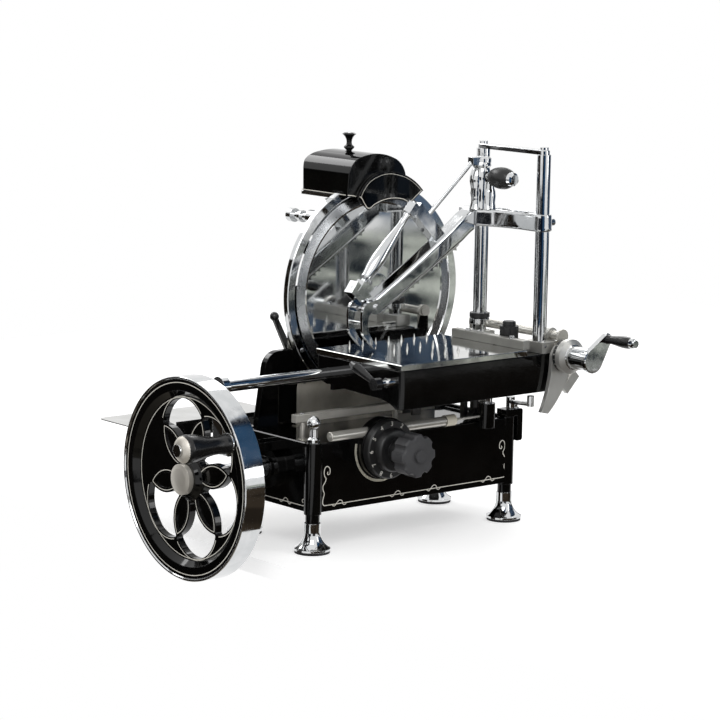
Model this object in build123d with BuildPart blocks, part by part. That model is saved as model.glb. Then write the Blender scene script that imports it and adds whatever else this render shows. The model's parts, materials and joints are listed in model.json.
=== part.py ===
"""Hand cranked flywheel meat slicer, as an assembly of separate pieces.

Millimetres. X runs along the flywheel shaft with the flywheel at -X, -Y is the operator's side with
the thickness dial, +Y is the side where the slices fall, +Z is up. The origin lies between the feet
on the table. Everything is drawn with the carriage at its +X end and the meat table drawn back.
"""

from build123d import *
import os
from math import asin, atan2, cos, degrees, hypot, pi, radians, sin, sqrt

os.makedirs("parts", exist_ok=True)

# ---------------------------------------------------------------- clearances
FIT = 0.02  # radial, between pieces that turn together
RUN = 0.05  # radial, shaft in its bush
GAP = 0.4  # between faces of different moving bodies

# ---------------------------------------------------------------- base and feet
BASE_X = 198.0
FOOT_X = BASE_X - 8
FOOT_Y = 81.0
BASE_Y = 90.0
BASE_Z0 = 60.0
DECK_Z = 156.0
RIM_Z = 162.0
BASE_WALL = 7.0
DECK_T = 5.0
PILLAR_R = 13.0
PAD_H = 4.0
BELL_TOP = 44.0
FOOT_BOLT_R = 4.25  # holes under the feet, for the bolts of a stand

# ---------------------------------------------------------------- flywheel and its shaft
SHAFT_Z = 116.0
SHAFT_R = 9.0
WHEEL_R = 148.5
WHEEL_X0 = -365.0
WHEEL_X1 = -330.0
WHEEL_RIM_IN = 128.0
WEB_X0 = -354.0
WEB_X1 = -343.0
HUB_R = 30.0
PETAL_R = 51.0
PETAL_D = 65.5
PETAL_SOLID = 162.0  # this sector of the web stays closed
GRIP_ANGLE = 32.5
GRIP_D = 129.5

# ---------------------------------------------------------------- cross shaft, rocker and chain
CROSS_X = 46.0
GEAR_R = 30.0
GEAR_TEETH = 20
CRANK_R = 30.0
ROCKER_Z = 72.0
ROCKER_L = 133.0
CHAIN_Y = 105.0
CHAIN_PITCH = 12.7
DRIVE_TEETH = 20
DRIVEN_TEETH = 10

# ---------------------------------------------------------------- blade and ring
BLADE_X = CROSS_X
BLADE_Y = 66.0
BLADE_Z = 351.0
BLADE_R = 152.0
BLADE_T = 4.0
RING_R = 169.0
RING_IN = 154.5
RING_Y0 = 68.0
RING_Y1 = 78.0
COLUMN_Y0 = 79.0
STONE_MID = BLADE_X
STONE_Z = 515.0
SHELF_Z = 500.0

# ---------------------------------------------------------------- carriage
CAR_X0 = -116.0
CAR_X1 = 184.0
CAR_Y0 = -187.0
CAR_Y1 = 8.0
CAR_Z0 = 218.0
CAR_Z1 = 275.0
CAR_WALL = 6.0
STROKE = 180.0
BAR_Y = -20.0
BAR_Z = 248.6
BAR_R = 9.0
RAIL_Y = -40.0
RAIL_Z1 = 198.0

# ---------------------------------------------------------------- meat table, columns and feed screw
TABLE_Z0 = CAR_Z1 + GAP
TABLE_Z1 = 283.6
TABLE_X1 = 131.0
FEED_TRAVEL = 55.0
COL_X = 174.0
COL_B_Y = -167.0
COL_A_Y = -33.0
COL_R = 10.5
COL_TOP = 572.0
BLOCK_Z1 = 292.0
SCREW_X = 194.0
SCREW_Z = 272.5
SCREW_R = 6.0
CRANK_ARM_R = 41.0
CRANK_ARM_ANGLE = 47.5

# ---------------------------------------------------------------- clamp
CLAMP_Y = -45.0
ARM_W = 26.0
HEAD_X0 = 138.0
HEAD_Z0 = 457.0
HEAD_Z1 = 484.0
TOWER_X = 147.0
TOWER_Y = -62.0
KNOB_Z = 533.0

# ---------------------------------------------------------------- dial
DIAL_X = -68.0
DIAL_Z = 144.0
BULGE_Y = -100.0
RACK_Y = -92.0
RACK_R = 7.2
PINION_R = 19.0
RACK_Z = DIAL_Z + PINION_R + RACK_R + 0.4
DIAL_R = 44.0
STAR_R = 32.0
KNUCKLE_X = 138.0


def rod_x(radius, x0, x1, y, z, mode=Mode.ADD):
    """A round bar along X in the part being built."""
    with Locations(((x0 + x1) / 2, y, z)):
        Cylinder(radius, x1 - x0, rotation=(0, 90, 0), mode=mode)


def rod_y(radius, y0, y1, x, z, mode=Mode.ADD):
    """A round bar along Y in the part being built."""
    with Locations((x, (y0 + y1) / 2, z)):
        Cylinder(radius, y1 - y0, rotation=(90, 0, 0), mode=mode)


def rod_z(radius, z0, z1, x, y, mode=Mode.ADD):
    """A round bar along Z in the part being built."""
    with Locations((x, y, (z0 + z1) / 2)):
        Cylinder(radius, z1 - z0, mode=mode)


def block(x0, x1, y0, y1, z0, z1, mode=Mode.ADD):
    """A rectangular block between two corners in the part being built."""
    with Locations(((x0 + x1) / 2, (y0 + y1) / 2, (z0 + z1) / 2)):
        Box(x1 - x0, y1 - y0, z1 - z0, mode=mode)


def strut(radius, start, end):
    """A round bar between two points in the part being built."""
    along = Vector(*end) - Vector(*start)
    with Locations(Plane(origin=Vector(*start) + along * 0.5, z_dir=along)):
        Cylinder(radius, along.length)


def facing_y(y, x=0.0, z=0.0):
    """A plane across Y. Its axes are X and Z, and it extrudes towards -Y."""
    return Plane(origin=(x, y, z), x_dir=(1, 0, 0), z_dir=(0, -1, 0))


def facing_x(x, y=0.0, z=0.0):
    """A plane across X. Its axes are -Y and Z, and it extrudes towards -X."""
    return Plane(origin=(x, y, z), x_dir=(0, -1, 0), z_dir=(-1, 0, 0))


def polar(distance, angle):
    """A point at a distance and an angle in degrees."""
    return (distance * cos(radians(angle)), distance * sin(radians(angle)))


def save(built, name):
    """Label a finished piece and write it."""
    built.part.label = name
    export_step(built.part, f"parts/{name}.step")


# ================================================================ feet
BELL_PROFILE_R = 27.0
NECK_R = 12.0
corners = [(sx * FOOT_X, sy * FOOT_Y) for sx in (-1, 1) for sy in (-1, 1)]

with BuildPart() as foot_pads:
    with BuildSketch(Plane.XY):
        with Locations(*corners):
            Circle(26.0)
            Circle(FOOT_BOLT_R, mode=Mode.SUBTRACT)
    extrude(amount=PAD_H)
save(foot_pads, "foot_pads")

with BuildPart() as foot_bells:
    with BuildSketch(Plane.XZ):
        with BuildLine():
            Polyline((0, PAD_H), (BELL_PROFILE_R, PAD_H), (BELL_PROFILE_R, PAD_H + 3))
            ThreePointArc((BELL_PROFILE_R, PAD_H + 3), (16.0, 17.0), (NECK_R, 30.0))
            Polyline((NECK_R, 30.0), (NECK_R, BELL_TOP), (0, BELL_TOP), (0, PAD_H))
        make_face()
    revolve(axis=Axis.Z)
    rod_z(FOOT_BOLT_R, PAD_H - 1, PAD_H + 14, 0, 0, Mode.SUBTRACT)
    bell = foot_bells.part
with BuildPart() as foot_bells:
    with Locations(*corners):
        add(bell)
save(foot_bells, "foot_bells")

# ================================================================ base casting
BOSS_R = 30.0
BOSS_X = -BASE_X - 16
BUSH_R = 13.0
rocker_half = degrees(asin(CRANK_R / (SHAFT_Z - ROCKER_Z)))
rocker_top_x = CROSS_X + ROCKER_L * sin(radians(rocker_half))
rocker_top_z = ROCKER_Z + ROCKER_L * cos(radians(rocker_half))
slot_reach = (DECK_Z - ROCKER_Z) * sin(radians(rocker_half)) / cos(radians(rocker_half)) + 18.0

with BuildPart() as base_casting:
    block(-BASE_X, BASE_X, -BASE_Y, BASE_Y, BASE_Z0, RIM_Z)
    fillet(base_casting.edges().filter_by(Axis.Z), 8.0)
    chamfer(base_casting.faces().sort_by(Axis.Z)[-1].edges(), 1.5)
    # hollow from below, deck recessed behind a rim that is open to the rear
    inner_x = BASE_X - BASE_WALL
    inner_y = BASE_Y - BASE_WALL
    block(-inner_x, inner_x, -inner_y, inner_y, BASE_Z0 - 1, DECK_Z - DECK_T, Mode.SUBTRACT)
    block(-inner_x, inner_x, -inner_y, BASE_Y + 1, DECK_Z, RIM_Z + 1, Mode.SUBTRACT)
    # corner pillars with their legs
    for foot_x, foot_y in corners:
        rod_z(PILLAR_R, BASE_Z0 - 3, RIM_Z + 1, foot_x, foot_y)
        rod_z(NECK_R - 1.5, BELL_TOP, BASE_Z0, foot_x, foot_y)
    # slot for the rocker
    block(CROSS_X - slot_reach, CROSS_X + slot_reach, -79, -64, DECK_Z - 9, DECK_Z + 1, Mode.SUBTRACT)
    # bearing boss of the main shaft, inner bearing posts and rocker pivot pin
    rod_x(BOSS_R, BOSS_X, -BASE_X + 1, 0, SHAFT_Z)
    rod_x(22.0, -inner_x - 1, -inner_x + 8, 0, SHAFT_Z)
    block(-44, -24, -18, 18, SHAFT_Z, DECK_Z - DECK_T)
    rod_x(18.0, -44, -24, 0, SHAFT_Z)
    block(CROSS_X - 18, CROSS_X + 18, -42, -26, SHAFT_Z, DECK_Z - DECK_T)
    rod_y(18.0, -42, -26, CROSS_X, SHAFT_Z)
    rod_x(BUSH_R, BOSS_X - 1, -20, 0, SHAFT_Z, Mode.SUBTRACT)
    rod_y(BUSH_R, -43, -25, CROSS_X, SHAFT_Z, Mode.SUBTRACT)
    rod_y(BUSH_R, inner_y - 1, BASE_Y + 1, CROSS_X, SHAFT_Z, Mode.SUBTRACT)
    rod_y(11.0, -inner_y - 1, -77, CROSS_X, ROCKER_Z)
    rod_y(5.0, -78, -62, CROSS_X, ROCKER_Z)
    # round housing of the dial pinion, which also guides the rack bar
    rod_y(DIAL_R + 2, BULGE_Y, -inner_y - 1, DIAL_X, DIAL_Z)
    rod_y(PINION_R + 1.5, BULGE_Y - 1, -BASE_Y - 2.5, DIAL_X, DIAL_Z, Mode.SUBTRACT)
    rod_y(6.0 + RUN, BULGE_Y - 1, -inner_y + 1, DIAL_X, DIAL_Z, Mode.SUBTRACT)
    rod_x(RACK_R + RUN, DIAL_X - 60, DIAL_X + 60, RACK_Y, RACK_Z, Mode.SUBTRACT)
save(base_casting, "base_casting")

with BuildPart() as acorn_finial:
    with BuildSketch(facing_y(-FOOT_Y, x=-FOOT_X, z=RIM_Z + 1)):
        with BuildLine():
            Polyline((0, 0), (9.5, 0), (9.5, 5), (6.0, 8), (5.5, 20))
            ThreePointArc((5.5, 20), (10.0, 28.0), (5.0, 37.0))
            Line((5.0, 37.0), (0, 40))
            Line((0, 40), (0, 0))
        make_face()
    revolve(axis=Axis((-FOOT_X, -FOOT_Y, 0), (0, 0, 1)))
save(acorn_finial, "acorn_finial")

# ================================================================ bushes
COLUMN_BUSH_R = 12.0
with BuildPart() as bearing_bushes:
    rod_x(BUSH_R, BOSS_X, -inner_x + 8, 0, SHAFT_Z)
    rod_x(BUSH_R + 4, BOSS_X - 3, BOSS_X, 0, SHAFT_Z)
    rod_x(BUSH_R, -44, -24, 0, SHAFT_Z)
    rod_x(SHAFT_R + RUN, BOSS_X - 4, -20, 0, SHAFT_Z, Mode.SUBTRACT)
    rod_y(BUSH_R, -42, -26, CROSS_X, SHAFT_Z)
    rod_y(BUSH_R, inner_y, BASE_Y, CROSS_X, SHAFT_Z)
    rod_y(SHAFT_R + RUN, -43, BASE_Y + 1, CROSS_X, SHAFT_Z, Mode.SUBTRACT)
    rod_y(COLUMN_BUSH_R, COLUMN_Y0, 98, BLADE_X, BLADE_Z)
    rod_y(8.0 + RUN, COLUMN_Y0 - 1, 99, BLADE_X, BLADE_Z, Mode.SUBTRACT)
save(bearing_bushes, "bearing_bushes")

# ================================================================ flywheel
wheel_front = facing_x(WEB_X0, z=SHAFT_Z)
petal_angles = [PETAL_SOLID + 60 * n for n in range(6)]
grip_y = -GRIP_D * cos(radians(GRIP_ANGLE))
grip_z = SHAFT_Z + GRIP_D * sin(radians(GRIP_ANGLE))
wheel_axis = Axis((0, 0, SHAFT_Z), (1, 0, 0))

with BuildPart() as flywheel:
    with BuildSketch(facing_y(0, z=SHAFT_Z)):
        with BuildLine():
            Polyline((-362, SHAFT_R + FIT), (-362, 26), (-357, HUB_R), (WEB_X0, HUB_R + 3))
            Line((WEB_X0, HUB_R + 3), (WEB_X0, WHEEL_RIM_IN - 8))
            Line((WEB_X0, WHEEL_RIM_IN - 8), (WHEEL_X0 + 2, WHEEL_RIM_IN))
            Polyline((WHEEL_X0 + 2, WHEEL_RIM_IN), (WHEEL_X0 + 2, WHEEL_R - 4), (WHEEL_X0, WHEEL_R - 3))
            Polyline((WHEEL_X0, WHEEL_R - 3), (WHEEL_X0, WHEEL_R - 1), (WHEEL_X0 + 1, WHEEL_R))
            Polyline((WHEEL_X0 + 1, WHEEL_R), (WHEEL_X1 - 1, WHEEL_R), (WHEEL_X1, WHEEL_R - 1))
            Polyline((WHEEL_X1, WHEEL_R - 1), (WHEEL_X1, WHEEL_RIM_IN + 4), (WEB_X1, WHEEL_RIM_IN - 4))
            Polyline((WEB_X1, WHEEL_RIM_IN - 4), (WEB_X1, HUB_R + 3), (-336, 24), (-326, 22))
            Polyline((-326, 22), (-326, SHAFT_R + FIT), (-362, SHAFT_R + FIT))
        make_face()
    revolve(axis=wheel_axis)
    # petal openings between the lens shaped spokes; one sector stays closed
    for angle in petal_angles[1:]:
        with BuildSketch(facing_x(WEB_X1 + 2, z=SHAFT_Z)) as petal:
            with Locations(polar(PETAL_D, angle)):
                Circle(PETAL_R)
            with Locations(polar(PETAL_D, angle - 60), polar(PETAL_D, angle + 60)):
                Circle(PETAL_R, mode=Mode.SUBTRACT)
            Circle(HUB_R + 6, mode=Mode.SUBTRACT)
            fillet(petal.vertices(), 3.0)
        extrude(amount=WEB_X1 - WEB_X0 + 4, mode=Mode.SUBTRACT)
    # a sunk lens on the face of each spoke
    for angle in petal_angles:
        with BuildSketch(wheel_front):
            with Locations(polar(PETAL_D, angle)):
                Circle(PETAL_R - 7)
            with Locations(polar(PETAL_D, angle + 60)):
                Circle(PETAL_R - 7, mode=Mode.INTERSECT)
        extrude(amount=-2.5, mode=Mode.SUBTRACT)
    # boss of the grip spindle
    rod_x(14.0, WHEEL_X0 - 4, WEB_X1, grip_y, grip_z)
    rod_x(6.0 + FIT, WHEEL_X0 - 5, WEB_X1 - 1, grip_y, grip_z, Mode.SUBTRACT)
save(flywheel, "flywheel")

GRIP_X0 = -454.0
with BuildPart() as flywheel_fittings:
    # domed hub cap
    with BuildSketch(facing_y(0, z=SHAFT_Z)):
        with BuildLine():
            Polyline((-362.2, 0), (-362.2, 22.5), (-370, 22.5), (-372.4, 16), (-373.6, 8), (-374, 0))
            Line((-374, 0), (-362.2, 0))
        make_face()
    revolve(axis=wheel_axis)
    # spindle with its end washer
    rod_x(6.0, GRIP_X0 + 1, WEB_X1 - 2, grip_y, grip_z)
    rod_x(9.0, GRIP_X0 - 2, GRIP_X0 + 1, grip_y, grip_z)
save(flywheel_fittings, "flywheel_fittings")

with BuildPart() as flywheel_grip:
    with BuildSketch(facing_y(grip_y, z=grip_z)):
        with BuildLine():
            grip_root = WHEEL_X0 - 4 - GAP
            Polyline((grip_root, 6 + RUN), (grip_root, 14), (grip_root - 6, 14))
            Spline((grip_root - 6, 14), (grip_root - 22, 13), (-436, 20.5), tangents=[(-1, -0.2), (-1, 0.1)])
            ThreePointArc((-436, 20.5), (-448, 17.5), (GRIP_X0 + 1 + GAP, 10))
            Polyline((GRIP_X0 + 1 + GAP, 10), (GRIP_X0 + 1 + GAP, 6 + RUN), (grip_root, 6 + RUN))
        make_face()
    revolve(axis=Axis((0, grip_y, grip_z), (1, 0, 0)))
save(flywheel_grip, "flywheel_grip")

# ================================================================ main shaft, bevel gears, cross shaft
gear_root = 0.93
gear_tip = 1.055
gear_face = 0.70
BEVEL_BACK = 4.0


def bevel_tooth(scale, half_phase):
    """Corners of one tooth's section at a share of the pitch radius, as plane points."""
    flanks = [(gear_root - 0.03, -5.6), (gear_tip, -2.2), (gear_tip, 2.2), (gear_root - 0.03, 5.6)]
    return [polar(GEAR_R * scale * share, turn + half_phase) for share, turn in flanks]


def bevel_gear_at(plane_at, half_phase):
    """A straight bevel gear; plane_at(distance) is the section plane that far from the pitch apex."""
    with BuildPart() as gear:
        with BuildSketch(plane_at(GEAR_R * gear_face)):
            Circle(GEAR_R * gear_face * gear_root)
        with BuildSketch(plane_at(GEAR_R)):
            Circle(GEAR_R * gear_root)
        loft()
        with BuildSketch(plane_at(GEAR_R)):
            Circle(GEAR_R * gear_root)
        extrude(amount=BEVEL_BACK)
        for n in range(GEAR_TEETH):
            phase = half_phase + 360 * n / GEAR_TEETH
            with BuildSketch(plane_at(GEAR_R * gear_face)):
                Polygon(*bevel_tooth(gear_face, phase), align=None)
            with BuildSketch(plane_at(GEAR_R)):
                Polygon(*bevel_tooth(1.0, phase), align=None)
            loft()
        with BuildSketch(plane_at(0)):
            Circle(SHAFT_R + FIT)
        extrude(amount=GEAR_R + BEVEL_BACK + 1, mode=Mode.SUBTRACT)
    return gear


# the pitch cones meet where the two shafts' axes cross
bevel_pinion = bevel_gear_at(lambda h: facing_x(CROSS_X - h, z=SHAFT_Z), 180.0)
save(bevel_pinion, "bevel_pinion")


def facing_back(h):
    """A plane across Y, h behind the crossing point, that extrudes towards +Y."""
    return Plane(origin=(CROSS_X, h, SHAFT_Z), x_dir=(-1, 0, 0), z_dir=(0, 1, 0))


bevel_gear = bevel_gear_at(facing_back, 180.0 / GEAR_TEETH)
save(bevel_gear, "bevel_gear")

with BuildPart() as main_shaft:
    rod_x(SHAFT_R, -361, CROSS_X - GEAR_R * gear_face + 1, 0, SHAFT_Z)
    rod_x(SHAFT_R + 4, -320, BOSS_X - 3 - GAP, 0, SHAFT_Z)
save(main_shaft, "main_shaft")

crank_pin_angle = -rocker_half
CRANK_DISC_R = 34.5
with BuildPart() as cross_shaft:
    rod_y(SHAFT_R, -56, 112, CROSS_X, SHAFT_Z)
    rod_y(CRANK_DISC_R, -56, -46, CROSS_X, SHAFT_Z)
    pin_x, pin_z = polar(CRANK_R, crank_pin_angle)
    rod_y(4.0, -66, -56, CROSS_X + pin_x, SHAFT_Z + pin_z)
    # lightening holes opposite the pin
    for turn in (120, 180, 240):
        hole_x, hole_z = polar(22.0, crank_pin_angle + turn)
        rod_y(6.0, -57, -45, CROSS_X + hole_x, SHAFT_Z + hole_z, Mode.SUBTRACT)
save(cross_shaft, "cross_shaft")

# ================================================================ rocker between crank pin and carriage
with BuildPart() as rocker_arm:
    rocker_plane = Plane(
        origin=(CROSS_X, -67, ROCKER_Z),
        x_dir=(sin(radians(rocker_half)), 0, cos(radians(rocker_half))),
        z_dir=(0, -1, 0),
    )
    with BuildSketch(rocker_plane):
        with Locations((ROCKER_L / 2, 0)):
            SlotCenterToCenter(ROCKER_L, 20)
        Circle(5.0 + RUN, mode=Mode.SUBTRACT)
        with Locations((46, 0)):
            SlotCenterToCenter(62, 9, mode=Mode.SUBTRACT)
    extrude(amount=9)
    rod_y(5.0, -68, -59, rocker_top_x, rocker_top_z)
save(rocker_arm, "rocker_arm")

# ================================================================ chain drive
drive_r = CHAIN_PITCH / (2 * sin(pi / DRIVE_TEETH))
driven_r = CHAIN_PITCH / (2 * sin(pi / DRIVEN_TEETH))
axis_gap = BLADE_Z - SHAFT_Z
lean = asin((drive_r - driven_r) / axis_gap)
ROLLER_R = 3.2


def belt_outline(low, high):
    """The outline round two circles joined by tangents, in the sketch being built."""
    Circle(low)
    with Locations((0, axis_gap)):
        Circle(high)
    side = [(low * cos(lean), low * sin(lean)), (high * cos(lean), axis_gap + high * sin(lean))]
    Polygon(*side, *[(-x, z) for x, z in reversed(side)], align=None)


def chain_point(distance):
    """The place of a chain roller that far along the chain, in the plane of the chain."""
    straight = sqrt(axis_gap**2 - (drive_r - driven_r) ** 2)
    low_arc = drive_r * (pi + 2 * lean)
    high_arc = driven_r * (pi - 2 * lean)
    if distance < straight:
        share = distance / straight
        x = cos(lean) * (drive_r + (driven_r - drive_r) * share)
        return x, drive_r * sin(lean) + share * (axis_gap + (driven_r - drive_r) * sin(lean))
    distance -= straight
    if distance < high_arc:
        turn = lean + distance / driven_r
        return driven_r * cos(turn), axis_gap + driven_r * sin(turn)
    distance -= high_arc
    if distance < straight:
        x, z = chain_point(straight - distance)
        return -x, z
    turn = pi - lean + (distance - straight) / drive_r
    return drive_r * cos(turn), drive_r * sin(turn)


chain_length = 2 * sqrt(axis_gap**2 - (drive_r - driven_r) ** 2)
chain_length += drive_r * (pi + 2 * lean) + driven_r * (pi - 2 * lean)
links = round(chain_length / CHAIN_PITCH)

with BuildPart() as drive_chain:
    for plate_y in (CHAIN_Y - 2.0, CHAIN_Y + 3.5):
        with BuildSketch(facing_y(plate_y, x=CROSS_X, z=SHAFT_Z)):
            belt_outline(drive_r + 4.2, driven_r + 4.2)
        extrude(amount=1.5)
        with BuildSketch(facing_y(plate_y, x=CROSS_X, z=SHAFT_Z)):
            belt_outline(drive_r - 3.4, driven_r - 3.4)
        extrude(amount=1.5, mode=Mode.SUBTRACT)
    with BuildSketch(facing_y(CHAIN_Y + 2.0, x=CROSS_X, z=SHAFT_Z)):
        for link in range(links):
            with Locations(chain_point(chain_length * link / links)):
                RegularPolygon(ROLLER_R, 4)
    extrude(amount=4.0)
save(drive_chain, "drive_chain")


def sprocket_outline(pitch_r, teeth):
    """Corners of a sprocket that clears the fixed chain."""
    tip = pitch_r - ROLLER_R - 1.0
    return [polar(tip - 1.6 * (n % 2), 180 * n / teeth) for n in range(2 * teeth)]


with BuildPart() as drive_sprocket:
    with BuildSketch(facing_y(CHAIN_Y + 1.5, x=CROSS_X, z=SHAFT_Z)):
        Polygon(*sprocket_outline(drive_r, DRIVE_TEETH), align=None)
    extrude(amount=3.0)
    rod_y(16.0, CHAIN_Y - 9, CHAIN_Y + 1.5, CROSS_X, SHAFT_Z)
    rod_y(SHAFT_R + FIT, CHAIN_Y - 10, CHAIN_Y + 3, CROSS_X, SHAFT_Z, Mode.SUBTRACT)
    with BuildSketch(facing_y(CHAIN_Y + 2, x=CROSS_X, z=SHAFT_Z)):
        with PolarLocations(25.0, 5):
            Circle(5.5)
    extrude(amount=5, mode=Mode.SUBTRACT)
save(drive_sprocket, "drive_sprocket")

CASE_Y1 = 120.0
with BuildPart() as chain_case:
    with BuildSketch(facing_y(CASE_Y1, x=CROSS_X, z=SHAFT_Z)):
        belt_outline(drive_r + 13, driven_r + 16)
    extrude(amount=CASE_Y1 - BASE_Y)
    fillet(chain_case.faces().sort_by(Axis.Y)[-1].edges(), 5.0)
    with BuildSketch(facing_y(CASE_Y1 - 3, x=CROSS_X, z=SHAFT_Z)):
        belt_outline(drive_r + 10, driven_r + 13)
    extrude(amount=CASE_Y1 - BASE_Y, mode=Mode.SUBTRACT)
save(chain_case, "chain_case")

# ================================================================ blade column, blade, ring
with BuildPart() as blade_column:
    with BuildSketch(facing_y(BASE_Y)) as column_face:
        with BuildLine():
            Polyline((165, DECK_Z), (-170, DECK_Z), (-156, 246))
            ThreePointArc((-156, 246), (-147, 264), (-128, 271))
            Line((-128, 271), (BLADE_X - 60, 271))
            ThreePointArc((BLADE_X - 60, 271), (BLADE_X - 50, 290), (BLADE_X - 46, 340))
            ThreePointArc((BLADE_X - 46, 340), (BLADE_X, BLADE_Z + 48), (BLADE_X + 46, 340))
            ThreePointArc((BLADE_X + 46, 340), (BLADE_X + 62, 270), (BLADE_X + 100, 220))
            Line((BLADE_X + 100, 220), (165, DECK_Z))
        make_face()
        with Locations((BLADE_X, BLADE_Z)):
            Circle(COLUMN_BUSH_R, mode=Mode.SUBTRACT)
    extrude(amount=BASE_Y - COLUMN_Y0)
    rod_y(19.0, BASE_Y, 97, BLADE_X, BLADE_Z)
    rod_y(COLUMN_BUSH_R, COLUMN_Y0 - 1, 99, BLADE_X, BLADE_Z, Mode.SUBTRACT)
save(blade_column, "blade_column")

with BuildPart() as guard_ring:
    with BuildSketch(facing_y(RING_Y1, x=BLADE_X, z=BLADE_Z)):
        Circle(RING_R)
        Circle(RING_IN, mode=Mode.SUBTRACT)
    extrude(amount=RING_Y1 - RING_Y0)
    chamfer(guard_ring.faces().sort_by(Axis.Y)[0].edges(), 1.2)
    # four flat arms behind the blade carry the ring on the column
    with BuildSketch(facing_y(COLUMN_Y0, x=BLADE_X, z=BLADE_Z)):
        Circle(40)
        for turn in (30, 150, 210, 330):
            with Locations(Location((*polar(96, turn), 0), turn)):
                Rectangle(122, 22)
        Circle(14, mode=Mode.SUBTRACT)
    extrude(amount=4.5)
    # the stones reach the blade through a gap at the top
    block(STONE_MID - 34.5, STONE_MID + 34.5, 60, 80, 480, 530, Mode.SUBTRACT)
save(guard_ring, "guard_ring")

with BuildPart() as blade:
    with BuildSketch(Plane(origin=(BLADE_X, BLADE_Y, BLADE_Z), x_dir=(1, 0, 0), z_dir=(0, 0, 1))):
        with BuildLine():
            Polyline((8.0 + FIT, 0), (40, 0.6), (134, 0.6), (137, 0), (BLADE_R, 2.2), (BLADE_R - 2, 2.8))
            Polyline((BLADE_R - 2, 2.8), (130, BLADE_T), (8.0 + FIT, BLADE_T), (8.0 + FIT, 0))
        make_face()
    revolve(axis=Axis((BLADE_X, 0, BLADE_Z), (0, 1, 0)))
save(blade, "blade")

with BuildPart() as blade_shaft:
    rod_y(27.0, BLADE_Y - 4, BLADE_Y - 0.05, BLADE_X, BLADE_Z)
    fillet(blade_shaft.faces().sort_by(Axis.Y)[0].edges(), 1.5)
    rod_y(8.0, BLADE_Y - 1, 112, BLADE_X, BLADE_Z)
    rod_y(12.0, BLADE_Y + BLADE_T, COLUMN_Y0 - GAP, BLADE_X, BLADE_Z)
    # sprocket cut on the shaft
    with BuildSketch(facing_y(CHAIN_Y + 1.5, x=BLADE_X, z=BLADE_Z)):
        Polygon(*sprocket_outline(driven_r, DRIVEN_TEETH), align=None)
    extrude(amount=3.0)
    rod_y(11.5, 98.5, CHAIN_Y + 1.5, BLADE_X, BLADE_Z)
save(blade_shaft, "blade_shaft")

# ================================================================ steel shields, tray, deflector
with BuildPart() as splash_plate:
    block(-112, 165, 56, 57.5, DECK_Z, 232)
    block(-112, 165, 56, 68, DECK_Z, DECK_Z + 1.5)
    with BuildSketch(facing_y(58)):
        with Locations((-112, 232), (165, 232)):
            Circle(30)
    fillet(splash_plate.edges().filter_by(Axis.Y).group_by(Axis.Z)[-1], 18.0)
save(splash_plate, "splash_plate")

with BuildPart() as slice_deflector:
    with BuildSketch(Plane.XY.offset(271.3)):
        with BuildLine():
            Line((-112, 80), (-70, 80))
            ThreePointArc((-70, 80), (-36, 86), (-12, 104))
            Line((-12, 104), (-13.2, 105.4))
            ThreePointArc((-13.2, 105.4), (-36.8, 87.8), (-70, 81.8))
            Polyline((-70, 81.8), (-112, 81.8), (-112, 80))
        make_face()
    extrude(amount=96)
    block(-96, -76, 81, 89.9, 271.3, 274)
save(slice_deflector, "slice_deflector")

LEVER_X = -98.0
LEVER_Z = 283.0
with BuildPart() as deflector_lever:
    rod_y(9.0, BASE_Y + GAP, BASE_Y + 8, LEVER_X, LEVER_Z - 20)
    with BuildSketch(facing_y(BASE_Y + 7)):
        with BuildLine():
            Polyline((LEVER_X - 6, LEVER_Z - 18), (LEVER_X + 6, LEVER_Z - 18), (LEVER_X - 24, LEVER_Z + 36))
            Polyline((LEVER_X - 24, LEVER_Z + 36), (LEVER_X - 31, LEVER_Z + 32), (LEVER_X - 6, LEVER_Z - 18))
        make_face()
    extrude(amount=5)
    with Locations((LEVER_X - 29, BASE_Y + 4.5, LEVER_Z + 38)):
        Sphere(7.0)
save(deflector_lever, "deflector_lever")

TRAY_Z = 150.0
with BuildPart() as receiving_tray:
    block(-296, -30, 124, 315, TRAY_Z - 1.5, TRAY_Z)
    fillet(receiving_tray.edges().filter_by(Axis.Z), 10.0)
    block(-286, -40, 124, 125.5, TRAY_Z - 1, TRAY_Z + 22)
    for arm_x in (-150, -70):
        block(arm_x - 8, arm_x + 8, BASE_Y, 290, TRAY_Z - 8, TRAY_Z - 1.5)
        block(arm_x - 8, arm_x + 8, BASE_Y, BASE_Y + 5, TRAY_Z - 34, TRAY_Z - 2)
save(receiving_tray, "receiving_tray")

# ================================================================ guide bar, rail and brackets
BRACKET_Y0 = BAR_Y - 12
with BuildPart() as guide_bar:
    rod_x(BAR_R, -316, BASE_X + 6, BAR_Y, BAR_Z)
    chamfer(guide_bar.edges().filter_by(GeomType.CIRCLE), 1.0)
save(guide_bar, "guide_bar")

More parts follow.
